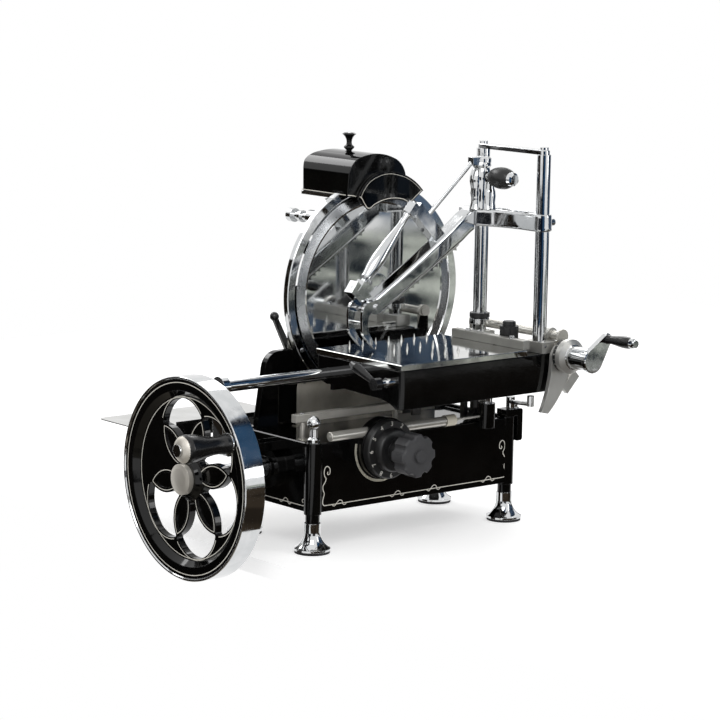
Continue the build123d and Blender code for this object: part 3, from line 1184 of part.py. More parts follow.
STAR_Y0 = -175.0
with BuildPart() as star_knob:
    rod_y(12.0, -152, RING_FRONT, DIAL_X, DIAL_Z)
    with BuildSketch(facing_y(-150, x=DIAL_X, z=DIAL_Z)):
        Circle(STAR_R)
        with PolarLocations(STAR_R + 3.5, 8, 22.5):
            Circle(7.5, mode=Mode.SUBTRACT)
    extrude(amount=-150 - STAR_Y0)
    fillet(star_knob.faces().sort_by(Axis.Y)[0].edges(), 3.0)
    rod_y(9.0, STAR_Y0 - 4, STAR_Y0 + 1, DIAL_X, DIAL_Z)
save(star_knob, "star_knob")

BAR_END = 53.0
with BuildPart() as rack_bar:
    rod_x(RACK_R, -169.5, BAR_END, RACK_Y, RACK_Z)
    chamfer(rack_bar.edges().filter_by(GeomType.CIRCLE), 1.0)
    rod_x(2.0, BAR_END + 19, KNUCKLE_X - 3, RACK_Y, RACK_Z)
    rod_x(8.6, BAR_END, BAR_END + 19, RACK_Y, RACK_Z)
save(rack_bar, "rack_bar")
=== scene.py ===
import json
import logging
import math
from collections.abc import Callable, Iterable
from dataclasses import dataclass, field
from enum import Enum

import bmesh
import bpy
from mathutils import Matrix, Vector

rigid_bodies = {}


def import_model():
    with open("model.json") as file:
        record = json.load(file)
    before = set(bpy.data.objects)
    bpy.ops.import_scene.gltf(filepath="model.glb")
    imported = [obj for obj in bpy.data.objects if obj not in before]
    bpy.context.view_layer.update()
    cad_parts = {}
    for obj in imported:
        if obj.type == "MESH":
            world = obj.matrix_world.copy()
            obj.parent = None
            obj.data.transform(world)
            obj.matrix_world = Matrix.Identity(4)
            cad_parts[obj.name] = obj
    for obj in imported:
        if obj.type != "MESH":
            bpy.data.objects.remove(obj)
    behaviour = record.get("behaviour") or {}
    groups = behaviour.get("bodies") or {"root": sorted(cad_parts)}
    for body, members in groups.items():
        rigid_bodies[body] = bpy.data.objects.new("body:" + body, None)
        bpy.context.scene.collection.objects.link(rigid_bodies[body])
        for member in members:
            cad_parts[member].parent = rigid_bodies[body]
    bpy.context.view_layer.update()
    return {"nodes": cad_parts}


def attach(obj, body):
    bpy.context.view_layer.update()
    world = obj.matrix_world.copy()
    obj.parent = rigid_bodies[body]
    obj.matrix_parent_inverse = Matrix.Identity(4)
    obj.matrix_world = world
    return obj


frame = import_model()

logging.basicConfig(level=logging.INFO, format="%(message)s")
LOG = logging.getLogger("slicer")

Piece = bpy.types.Object
Tree = bpy.types.NodeTree
Shader = bpy.types.Node
Socket = bpy.types.NodeSocket
Rings = list[tuple[float, float]]

MM = 0.001
UP = Vector((0, 0, 1))
LEFT = Vector((-1, 0, 0))
RIGHT = Vector((1, 0, 0))
FRONT = Vector((0, -1, 0))
REAR = Vector((0, 1, 0))

# the sockets of Blender's Mix node for colours
MIX_SHARE, MIX_A, MIX_B, MIX_RESULT = 0, 6, 7, 2
WHITE = (1, 1, 1, 1)


def linear(hex_colour: str) -> tuple[float, float, float, float]:
    """Turns an sRGB hex colour into linear red, green, blue and alpha.

    Args:
        hex_colour: a colour such as "#a0a0a0".

    Returns:
        Four numbers from 0 to 1.
    """
    channels = [int(hex_colour[n : n + 2], 16) / 255 for n in (1, 3, 5)]
    red, green, blue = [
        c / 12.92 if c <= 0.04045 else ((c + 0.055) / 1.055) ** 2.4 for c in channels
    ]
    return (red, green, blue, 1.0)


def add_node(tree: Tree, kind: str, inputs: dict | None = None, **settings) -> Shader:
    """Adds a shader node with its settings and links.

    Args:
        tree: the node tree that it goes into.
        kind: the node's type.
        inputs: a value or another node's output for each input socket.
        **settings: the node's own properties.

    Returns:
        The new node.
    """
    made = tree.nodes.new(kind)
    for name, value in settings.items():
        setattr(made, name, value)
    for socket, value in (inputs or {}).items():
        if isinstance(value, bpy.types.NodeSocket):
            tree.links.new(value, made.inputs[socket])
        else:
            made.inputs[socket].default_value = value
    return made


def bare_tree(owner: bpy.types.Material | bpy.types.World) -> Tree:
    """Turns on the nodes of a material or world and returns its emptied tree."""
    owner.use_nodes = True
    owner.node_tree.nodes.clear()
    return owner.node_tree


def scale_of(size_mm: float) -> float:
    """Returns the scale at which a texture's pattern repeats about every so many millimetres."""
    return 1000 / size_mm


def aimed(at: Vector, along: Vector, axis: str = "Z") -> Matrix:
    """Returns the matrix that puts an origin at a point and turns one axis along a direction."""
    return Matrix.Translation(at) @ along.to_track_quat(axis, "Y").to_matrix().to_4x4()


def squared(at: Vector, x_axis: Vector, y_axis: Vector, z_axis: Vector) -> Matrix:
    """Returns the matrix that puts an origin at a point, with its axes along three directions."""
    return Matrix.Translation(at) @ Matrix((x_axis, y_axis, z_axis)).transposed().to_4x4()


class Way(Enum):
    """The way that a surface's grain runs, as the grain's scale along each axis."""

    ALONG_X = (0.03, 1.0, 1.0)
    ALONG_Y = (1.0, 0.03, 1.0)


# ---------------------------------------------------------------- finishes
@dataclass(frozen=True)
class Finish:
    """A surface: its colour, how it was made, and the unevenness that gives it away.

    Sizes are in millimetres. The shade is the colour that it drifts to in soft patches.
    """

    PATCH_EDGE = (0.35, 0.65)  # between these values of the noise, one patch goes into the next
    GLOSS_SHARE = 0.6  # how large the patches of gloss are, as a share of those of colour

    name: str
    colour: str
    shade: str
    roughness: float
    smear: float = 0.04
    smear_mm: float = 35.0
    metallic: float = 0.0
    edge_mm: float = 0.5
    specular: float = 0.5

    def material(self) -> bpy.types.Material:
        """Returns this finish's material, which is made when it is first asked for."""
        found = bpy.data.materials.get(self.name)
        if found:
            return found
        made = bpy.data.materials.new(self.name)
        tree = bare_tree(made)
        place = add_node(tree, "ShaderNodeTexCoord").outputs["Object"]
        drift = self.patches(tree, place, self.smear_mm, 0.0, 1.0)
        colours = {MIX_SHARE: drift, MIX_A: linear(self.colour), MIX_B: linear(self.shade)}
        tint = add_node(tree, "ShaderNodeMix", colours, data_type="RGBA")
        gloss_mm = self.smear_mm * self.GLOSS_SHARE
        gloss = self.patches(tree, place, gloss_mm, self.roughness, self.roughness + self.smear)
        surface = {
            "Base Color": tint.outputs[MIX_RESULT],
            "Metallic": self.metallic,
            "Roughness": gloss,
            "Specular IOR Level": self.specular,
        }
        shader = add_node(tree, "ShaderNodeBsdfPrincipled", surface)
        add_node(tree, "ShaderNodeOutputMaterial", {"Surface": shader.outputs[0]})
        self.detail(tree, shader, place)
        return made

    def patches(self, tree: Tree, place: Socket, size_mm: float, low: float, high: float) -> Socket:
        """Adds a value that drifts between two numbers in soft patches.

        Args:
            tree: the material's node tree.
            place: the coordinates to read.
            size_mm: how far apart the patches are.
            low: the value in one patch.
            high: the value in the next.

        Returns:
            The value's socket.
        """
        noise = {"Vector": place, "Scale": scale_of(size_mm), "Detail": 3.0}
        cloud = add_node(tree, "ShaderNodeTexNoise", noise)
        start, stop = self.PATCH_EDGE
        limits = {"Value": cloud.outputs[0], "From Min": start, "From Max": stop}
        limits |= {"To Min": low, "To Max": high}
        return add_node(tree, "ShaderNodeMapRange", limits).outputs[0]

    def relief(self, tree: Tree, shader: Shader, height: Socket, depth_mm: float) -> None:
        """Gives the shader a height map on top of softly rounded edges.

        Args:
            tree: the material's node tree.
            shader: the surface shader.
            height: the height map, from 0 to 1.
            depth_mm: how deep it goes.
        """
        edge = add_node(tree, "ShaderNodeBevel", {"Radius": self.edge_mm * MM}, samples=4)
        bumps = {"Height": height, "Distance": depth_mm * MM, "Normal": edge.outputs[0]}
        bump = add_node(tree, "ShaderNodeBump", bumps)
        tree.links.new(bump.outputs[0], shader.inputs["Normal"])

    def detail(self, tree: Tree, shader: Shader, place: Socket) -> None:
        """Adds the fine texture, which each kind of finish has its own way of.

        Args:
            tree: the material's node tree.
            shader: the surface shader.
            place: the coordinates to read.
        """
        raise NotImplementedError


@dataclass(frozen=True)
class StovedEnamel(Finish):
    """Enamel sprayed on cast iron and stoved: deep gloss, with orange peel in its reflections."""

    peel_mm: float = 4.5
    peel_depth_mm: float = 0.012

    def detail(self, tree: Tree, shader: Shader, place: Socket) -> None:
        """Adds the orange peel of sprayed paint, see Finish.detail."""
        noise = {"Vector": place, "Scale": scale_of(self.peel_mm), "Detail": 1.0}
        peel = add_node(tree, "ShaderNodeTexNoise", noise)
        self.relief(tree, shader, peel.outputs[0], self.peel_depth_mm)


@dataclass(frozen=True)
class Plating(Finish):
    """Chrome on polished iron: mirror bright, with faint ripples of the polishing wheel."""

    ripple_mm: float = 14.0
    ripple_depth_mm: float = 0.03

    def detail(self, tree: Tree, shader: Shader, place: Socket) -> None:
        """Adds the long ripples that a polishing wheel leaves, see Finish.detail."""
        noise = {"Vector": place, "Scale": scale_of(self.ripple_mm), "Detail": 0.0}
        ripple = add_node(tree, "ShaderNodeTexNoise", noise)
        self.relief(tree, shader, ripple.outputs[0], self.ripple_depth_mm)


@dataclass(frozen=True)
class Brushed(Finish):
    """Metal brushed or ground one way: a satin streak across the grain."""

    way: Way = Way.ALONG_X
    grain_mm: float = 0.9  # the real grain is near 0.1 mm, too fine to show in the render
    grain_depth_mm: float = 0.006

    def detail(self, tree: Tree, shader: Shader, place: Socket) -> None:
        """Adds the long fine grain, see Finish.detail."""
        drawn = add_node(tree, "ShaderNodeMapping", {"Vector": place, "Scale": self.way.value})
        noise = {"Vector": drawn.outputs[0], "Scale": scale_of(self.grain_mm), "Detail": 2.0}
        grain = add_node(tree, "ShaderNodeTexNoise", noise)
        self.relief(tree, shader, grain.outputs[0], self.grain_depth_mm)


@dataclass(frozen=True)
class FaceTurned(Finish):
    """Metal faced on a lathe: fine rings round the axis that make a fan of light."""

    WAVE_RATE = 20  # Blender's wave texture multiplies the distance by this before its sine

    centre_mm: tuple[float, float, float] = (0.0, 0.0, 0.0)
    axis: str = "Y"
    ring_mm: float = 1.6  # the tool's feed was finer, too fine to show in the render
    ring_depth_mm: float = 0.004

    def detail(self, tree: Tree, shader: Shader, place: Socket) -> None:
        """Adds the rings of the tool, see Finish.detail."""
        shift = {"Vector": place, "Location": [-c * MM for c in self.centre_mm]}
        centred = add_node(tree, "ShaderNodeMapping", shift)
        scale = 2 * math.pi / (self.WAVE_RATE * self.ring_mm * MM)
        wave = {"Vector": centred.outputs[0], "Scale": scale, "Distortion": 0.6, "Detail": 2.0}
        kind = {"wave_type": "RINGS", "rings_direction": self.axis}
        rings = add_node(tree, "ShaderNodeTexWave", wave, **kind)
        self.relief(tree, shader, rings.outputs[1], self.ring_depth_mm)


@dataclass(frozen=True)
class Moulded(Finish):
    """Pressed thermoset or moulded plastic: a satin skin with the mould's fine texture."""

    grain_mm: float = 0.7
    grain_depth_mm: float = 0.02

    def detail(self, tree: Tree, shader: Shader, place: Socket) -> None:
        """Adds the mould's fine grain, see Finish.detail."""
        noise = {"Vector": place, "Scale": scale_of(self.grain_mm), "Detail": 4.0}
        grain = add_node(tree, "ShaderNodeTexNoise", noise)
        self.relief(tree, shader, grain.outputs[0], self.grain_depth_mm)


@dataclass(frozen=True)
class BondedGrit(Finish):
    """A whetstone: grains of grit in a bond, rough and speckled."""

    grit_mm: float = 0.8
    grit_depth_mm: float = 0.08

    def detail(self, tree: Tree, shader: Shader, place: Socket) -> None:
        """Adds the grit's grains, see Finish.detail."""
        cells = {"Vector": place, "Scale": scale_of(self.grit_mm)}
        grit = add_node(tree, "ShaderNodeTexVoronoi", cells).outputs[0]
        colours = {MIX_SHARE: grit, MIX_A: linear(self.shade), MIX_B: linear(self.colour)}
        speck = add_node(tree, "ShaderNodeMix", colours, data_type="RGBA")
        tree.links.new(speck.outputs[MIX_RESULT], shader.inputs["Base Color"])
        self.relief(tree, shader, grit, self.grit_depth_mm)


BLADE_AXIS_MM = (46.0, 66.0, 351.0)
WHEEL_AXIS_Z = 116.0

# black stoved enamel on the castings, which gives the deep black body with crisp lights
ENAMEL = StovedEnamel(
    "stoved_black_enamel", "#050505", "#090909", 0.05, smear=0.03, edge_mm=1.4, specular=0.36
)
# chrome plate, which gives the feet, rods, ring and levers their black and white streaks
CHROME = Plating(
    "chrome_plate", "#d9dadb", "#cfd1d2", 0.045,
    smear=0.05, smear_mm=22.0, metallic=1.0, edge_mm=0.7,
)
# polished stainless plate, a little greyer than chrome, for table, shields and tray
STAINLESS = Brushed(
    "polished_stainless_plate", "#d0d0ce", "#c2c2bf", 0.05,
    smear=0.05, metallic=1.0, grain_depth_mm=0.001,
)
# satin stainless sheet of the shields, which shows long soft streaks; its beige colour is a painted
# reflection of a bright beige surround, which keeps it light and warm
SHEET_WITH_PAINTED_REFLECTION = Brushed(
    "satin_stainless_sheet", "#d8d3c8", "#c4bfb3", 0.3, smear=0.08, metallic=0.8
)
# bright drawn nickel bar, which is pale and only a little streaked
NICKEL_BAR = Brushed("drawn_nickel_bar", "#dedbd4", "#cdcac2", 0.22, smear=0.05, metallic=0.6)
# rolled trim ring round the dial's housing, pale with a warm tone: a painted highlight, made as a
# bright arc only on the lower left, where light falls on it
TRIM_PAINTED_HIGHLIGHT = Brushed("bright_rolled_trim", "#e6e2d2", "#d3cfbd", 0.24, smear=0.05, metallic=0.5)
# the blade's hollow ground mirror face, with the grinder's rings just showing
BLADE_FACE = FaceTurned(
    "mirror_ground_blade_steel", "#d4d5d5", "#c9cbcb", 0.03,
    smear=0.04, smear_mm=60.0, metallic=1.0, centre_mm=BLADE_AXIS_MM, ring_depth_mm=0.0006,
)
# the blade's ground bevel, duller than its face, so that it reads as a band
BLADE_BEVEL = FaceTurned(
    "ground_blade_bevel_steel", "#b4b6b8", "#a7a9ab", 0.24,
    smear=0.05, metallic=1.0, centre_mm=BLADE_AXIS_MM, ring_mm=0.9, ring_depth_mm=0.004,
)
# machined steel of shafts and screws, which gives a plain grey shine
SHAFT_STEEL = Brushed(
    "machined_shaft_steel", "#a6a7a8", "#97999b", 0.26, metallic=1.0, way=Way.ALONG_Y
)
# satin hub cap, faced on a lathe, pale and soft
HUB_CAP = FaceTurned(
    "face_turned_hub_cap", "#ded9d0", "#cfcac0", 0.42,
    smear=0.06, metallic=0.65, centre_mm=(-370.0, 0.0, WHEEL_AXIS_Z), axis="X",
)
# satin aluminium of the column blocks, milled and bead blasted, pale grey and soft
ALUMINIUM = Brushed(
    "satin_aluminium_block", "#d6d5d1", "#c8c7c2", 0.36,
    smear=0.06, metallic=0.8, way=Way.ALONG_Y, edge_mm=0.8,
)
# dull grey anodised aluminium of the fence
ANODISED = Brushed(
    "grey_anodised_aluminium_bar", "#aaa9a4", "#9b9a95", 0.42, metallic=0.8, way=Way.ALONG_Y
)
# machined cast iron inside the base, grey and dry
CAST_IRON = Moulded("machined_cast_iron", "#6d6c6a", "#5b5a58", 0.5, metallic=1.0, grain_mm=1.4)
# oiled chain steel, dark with a wet look
CHAIN_STEEL = Moulded("oiled_chain_steel", "#6a6763", "#4c4a47", 0.3, metallic=1.0)
# bronze of the shaft bushes
BRONZE = FaceTurned(
    "turned_bronze_bush", "#b08a50", "#9c7843", 0.3,
    metallic=1.0, centre_mm=(0, 0, WHEEL_AXIS_Z), axis="X",
)
# black phenolic of knobs and dials, satin black that shows its round forms
PHENOLIC = Moulded(
    "black_phenolic_moulding", "#1a1a1b", "#232324", 0.36,
    smear=0.1, edge_mm=1.0, grain_depth_mm=0.01,
)
# black lacquered grips, smoother than the knobs
GRIP_BLACK = Moulded(
    "black_lacquered_grip", "#0d0d0d", "#141415", 0.2,
    smear=0.08, edge_mm=0.8, grain_depth_mm=0.004,
)
# the star's sanded face, a mid grey that shows its lobes
STAR_GREY = Moulded(
    "sanded_phenolic_star", "#39393b", "#434345", 0.5, smear=0.1, grain_depth_mm=0.01
)
# dimpled black knob of the clamp, cast with a leathery texture
DIMPLED = Moulded(
    "dimpled_black_knob", "#121212", "#1b1b1b", 0.3,
    smear=0.1, grain_mm=2.6, grain_depth_mm=0.12,
)
# rubber of the pads
RUBBER = Moulded(
    "moulded_black_rubber", "#18181a", "#222225", 0.7, grain_mm=1.0, grain_depth_mm=0.03
)
# the coarse stone and the fine stone
COARSE_STONE = BondedGrit("coarse_corundum_stone", "#8d8579", "#5f584f", 0.85)
FINE_STONE = BondedGrit("fine_ceramic_stone", "#c9c3b4", "#a39c8d", 0.8, grit_mm=0.4)
# hand lined oil paint, off white with a slight sheen
LINE_PAINT = Moulded(
    "off_white_line_paint", "#e8e5dc", "#d8d4c8", 0.35, smear=0.1, smear_mm=8.0, grain_mm=1.2
)
# filled white of the dial's figures
FIGURE_WHITE = Moulded("white_filled_figures", "#dfddd6", "#cfcdc6", 0.5, smear_mm=5.0)
# cream nylon stop on the rack bar
NYLON = Moulded("cream_nylon_stop", "#e9e4d6", "#ddd6c4", 0.42)


# ---------------------------------------------------------------- the bench
class Bench:
    """The modelling moves that new pieces are made with, in the order of work by hand."""

    MERGE_M = 1e-6  # points nearer than this are merged
    FLAT_SHARE = 0.22  # how thick a painted line is, as a share of its width
    FONT_SHARE = 1.35  # a figure's font size, as a share of its height
    FIGURE_RISE_MM = 0.12

    @staticmethod
    def only(piece: Piece) -> None:
        """Selects one object and nothing else.

        Args:
            piece: the object, which also becomes the active one.
        """
        bpy.ops.object.select_all(action="DESELECT")
        piece.select_set(True)
        bpy.context.view_layer.objects.active = piece

    @staticmethod
    def take(name: str) -> Piece:
        """Names the object that the last operator made.

        Args:
            name: the name of the object and of its mesh.

        Returns:
            The object.
        """
        piece = bpy.context.active_object
        piece.name = name
        piece.data.name = name
        return piece

    @staticmethod
    def pick(piece: Piece, test: Callable[[Vector, Vector], bool]) -> None:
        """Selects, in edit mode, the faces whose centre and normal pass a test.

        Args:
            piece: the object that is being edited.
            test: takes a face's centre and normal and returns whether it is picked.
        """
        bpy.ops.mesh.select_mode(type="FACE")
        shape = bmesh.from_edit_mesh(piece.data)
        for face in shape.faces:
            face.select_set(test(face.calc_center_median(), face.normal))
        bmesh.update_edit_mesh(piece.data)

    @staticmethod
    def close(smooth_deg: float = 38.0) -> None:
        """Merges doubles, turns the faces out, leaves edit mode and shades the piece smooth.

        Args:
            smooth_deg: the angle up to which an edge is shaded smooth.
        """
        bpy.ops.mesh.select_all(action="SELECT")
        bpy.ops.mesh.remove_doubles(threshold=Bench.MERGE_M)
        bpy.ops.mesh.normals_make_consistent(inside=False)
        bpy.ops.object.mode_set(mode="OBJECT")
        bpy.ops.object.shade_smooth_by_angle(angle=math.radians(smooth_deg))

    @staticmethod
    def turned(name: str, rings: Rings, sides: int = 48) -> Piece:
        """Makes a turned piece upright at the origin, by extruding and scaling a circle.

        Args:
            name: the piece's name.
            rings: height and radius of each ring in millimetres.
            sides: how many sides the circle has.

        Returns:
            The new object.
        """
        bpy.ops.object.select_all(action="DESELECT")
        height, radius = rings[0]
        bpy.ops.mesh.primitive_circle_add(
            vertices=sides, radius=radius * MM, fill_type="NGON", location=(0, 0, height * MM)
        )
        piece = Bench.take(name)
        bpy.ops.object.transform_apply(location=True)
        Bench.only(piece)
        bpy.ops.object.mode_set(mode="EDIT")
        bpy.ops.mesh.select_mode(type="VERT")
        bpy.ops.mesh.select_all(action="SELECT")
        for next_height, next_radius in rings[1:]:
            step = (0, 0, (next_height - height) * MM)
            bpy.ops.mesh.extrude_region_move(TRANSFORM_OT_translate={"value": step})
            share = next_radius / radius
            centre = (0, 0, next_height * MM)
            bpy.ops.transform.resize(value=(share, share, 1), center_override=centre)
            height, radius = next_height, next_radius
        Bench.close()
        return piece

    @staticmethod
    def hex_bolt(name: str, flats: float, height: float) -> Piece:
        """Makes a hexagon bolt head on its washer, upright at the origin.

        Args:
            name: the piece's name.
            flats: the width across the flats in millimetres.
            height: the head's height in millimetres, without its washer.

        Returns:
            The new object.
        """
        washer_t, washer_r, bore_r = 0.14 * flats, 0.72 * flats, 0.3 * flats
        crown_in, crown_up = 0.1 * flats * MM, 0.07 * flats * MM
        dish_in, dish_up = 0.16 * flats * MM, -0.04 * flats * MM
        rings = [(0, washer_r), (washer_t, washer_r), (washer_t, bore_r)]
        washer = Bench.turned(name + "_washer", rings, sides=32)
        bpy.ops.object.select_all(action="DESELECT")
        middle = (0, 0, (washer_t + height / 2) * MM)
        bpy.ops.mesh.primitive_cylinder_add(
            vertices=6, radius=flats / math.sqrt(3) * MM, depth=height * MM, location=middle
        )
        head = Bench.take(name)
        bpy.ops.object.transform_apply(location=True)
        bpy.ops.object.mode_set(mode="EDIT")
        top = (washer_t + height) * MM
        Bench.pick(head, lambda centre, normal: centre.z > top - 1e-5)
        for inset, rise in ((crown_in, crown_up), (dish_in, dish_up)):
            bpy.ops.mesh.inset(thickness=inset, depth=0)
            bpy.ops.transform.translate(value=(0, 0, rise))
        Bench.close(smooth_deg=25.0)
        washer.select_set(True)
        bpy.ops.object.join()
        return head

    @staticmethod
    def slot_screw(name: str, radius: float, height: float) -> Piece:
        """Makes a domed screw head with a driver slot, upright at the origin.

        Args:
            name: the piece's name.
            radius: the head's radius in millimetres.
            height: how far it stands proud in millimetres.

        Returns:
            The new object.
        """
        sunk = -0.5
        skirt, shoulder = (0.35 * height, radius), (0.75 * height, 0.82 * radius)
        rings = [(sunk, radius), skirt, shoulder, (height, 0.5 * radius)]
        head = Bench.turned(name, rings, sides=28)
        bpy.ops.object.select_all(action="DESELECT")
        bpy.ops.mesh.primitive_cube_add(size=MM, location=(0, 0, height * MM))
        cutter = Bench.take(name + "_cutter")
        slot_length, slot_width, slot_height = 3 * radius, 0.3 * radius, 1.1 * height
        cutter.scale = (slot_length, slot_width, slot_height)
        bpy.ops.object.transform_apply(location=True, scale=True)
        Bench.only(head)
        cut = head.modifiers.new("slot", "BOOLEAN")
        cut.object = cutter
        cut.operation = "DIFFERENCE"
        cut.solver = "EXACT"
        bpy.ops.object.modifier_apply(modifier=cut.name)
        bpy.data.objects.remove(cutter)
        bpy.ops.object.shade_smooth_by_angle(angle=math.radians(30))
        return head

    @staticmethod
    def stand(piece: Piece, at: Iterable[float], along: Vector, turn: float = 0.0) -> Piece:
        """Points a piece that was made upright along a direction, moves it and applies its place.

        Args:
            piece: the object, made upright at the origin.
            at: where its origin goes, in millimetres.
            along: the direction that its Z axis turns to.
            turn: how far it turns about that axis, in degrees.

        Returns:
            The same object.
        """
        Bench.only(piece)
        spun = Matrix.Rotation(math.radians(turn), 4, "Z")
        piece.matrix_world = aimed(Vector(at) * MM, along) @ spun
        bpy.ops.object.transform_apply(location=True, rotation=True, scale=True)
        return piece

    @staticmethod
    def repeat(
        model: Piece, places: Iterable[tuple[Iterable[float], Vector, float]]
    ) -> list[Piece]:
        """Copies a finished piece to each place, with its own mesh, and removes the model.

        Args:
            model: the piece, upright at the origin.
            places: for each copy its position in millimetres, its direction and its turn.

        Returns:
            The copies.
        """
        copies = []
        for number, place in enumerate(places, 1):
            Bench.only(model)
            bpy.ops.object.duplicate()
            copy = Bench.take(f"{model.name}_{number}")
            copies.append(Bench.stand(copy, *place))
        bpy.data.objects.remove(model)
        return copies

    @staticmethod
    def stripe(
        name: str, points: list[Vector], normal: Vector, width: float = 1.5, closed: bool = False
    ) -> Piece:
        """Paints a raised line on a flat face.

        Args:
            name: the piece's name.
            points: the points that it passes, in millimetres, on the face.
            normal: the face's outward normal, along an axis.
            width: the line's width in millimetres.
            closed: whether the line is a ring.

        Returns:
            The new object.
        """
        bpy.ops.object.select_all(action="DESELECT")
        bpy.ops.curve.primitive_bezier_curve_add(location=(0, 0, 0))
        line = Bench.take(name)
        spline = line.data.splines[0]
        spline.bezier_points.add(len(points) - len(spline.bezier_points))
        for knot, point in zip(spline.bezier_points, points):
            knot.co = point * MM
            knot.handle_left_type = "AUTO"
            knot.handle_right_type = "AUTO"
        spline.use_cyclic_u = closed
        line.data.resolution_u = 8
        line.data.bevel_depth = width / 2 * MM
        line.data.bevel_resolution = 1
        line.data.use_fill_caps = not closed
        Bench.only(line)
        bpy.ops.object.convert(target="MESH")
        piece = Bench.take(name)
        bpy.ops.object.mode_set(mode="EDIT")
        bpy.ops.mesh.select_all(action="SELECT")
        flat = [Bench.FLAT_SHARE if abs(n) > 0.5 else 1.0 for n in normal]
        bpy.ops.transform.resize(value=flat, center_override=points[0] * MM)
        Bench.close()
        return piece

    @staticmethod
    def figure(
        name: str, text: str, height: float, at: Vector, normal: Vector, upward: Vector
    ) -> Piece:
        """Makes a figure of a scale as a thin raised shape.

        Args:
            name: the piece's name.
            text: what it says.
            height: its size in millimetres.
            at: its middle, in millimetres, on the surface.
            normal: the surface's outward normal there.
            upward: the direction of its top.

        Returns:
            The new object.
        """
        bpy.ops.object.select_all(action="DESELECT")
        bpy.ops.object.text_add(location=(0, 0, 0))
        letters = Bench.take(name)
        letters.data.body = text
        letters.data.size = height * MM * Bench.FONT_SHARE
        letters.data.align_x = "CENTER"
        letters.data.align_y = "CENTER"
        letters.data.extrude = Bench.FIGURE_RISE_MM * MM
        letters.data.offset = 0.02 * height * MM
        letters.data.resolution_u = 4
        Bench.only(letters)
        bpy.ops.object.convert(target="MESH")
        piece = Bench.take(name)
        across = upward.cross(normal).normalized()
        piece.matrix_world = squared(at * MM, across, upward.normalized(), normal.normalized())
        bpy.ops.object.transform_apply(location=True, rotation=True, scale=True)
        return piece


def fit(pieces: Piece | list[Piece], finish: Finish, body: str) -> None:
    """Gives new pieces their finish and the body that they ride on.

    Args:
        pieces: a new object in its place, or several.
        finish: their finish.
        body: the CAD body that carries them.
    """
    for piece in pieces if isinstance(pieces, list) else [pieces]:
        piece.data.materials.clear()
        piece.data.materials.append(finish.material())
        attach(piece, body)


def dress_zone(node: str, finish: Finish, test: Callable[[Vector], bool]) -> None:
    """Gives part of a CAD node a second finish.

    Args:
        node: the node's name.
        finish: the finish of the zone.
        test: takes a face's centre in millimetres and returns whether it is in the zone.
    """
    mesh = frame["nodes"][node].data
    mesh.materials.append(finish.material())
    number = len(mesh.materials) - 1
    for face in mesh.polygons:
        if test(face.center / MM):
            face.material_index = number


def ring_points(
    centre: Vector, radius: float, across: Vector, upward: Vector, degrees: Iterable[float]
) -> list[Vector]:
    """Returns points on a circle.

    Args:
        centre: the circle's centre in millimetres.
        radius: its radius in millimetres.
        across: the direction of angle 0.
        upward: the direction of angle 90.
        degrees: the angle of each point.

    Returns:
        The points in millimetres.
    """
    return [
        centre + radius * (math.cos(math.radians(d)) * across + math.sin(math.radians(d)) * upward)
        for d in degrees
    ]


# ---------------------------------------------------------------- the slicer's sub-assemblies
@dataclass
class SubAssembly:
    """A group of CAD nodes and new pieces that are dressed together. Sizes are in millimetres."""

    finishes: dict[str, Finish] = field(default_factory=dict)

    def build(self) -> None:
        """Dresses the group's CAD nodes and then adds its own zones and pieces."""
        for node, finish in self.finishes.items():
            materials = frame["nodes"][node].data.materials
            materials.clear()
            materials.append(finish.material())
        self.add_pieces()

    def add_pieces(self) -> None:
        """Adds the second finishes and the new pieces, which each group has its own way of."""
        raise NotImplementedError


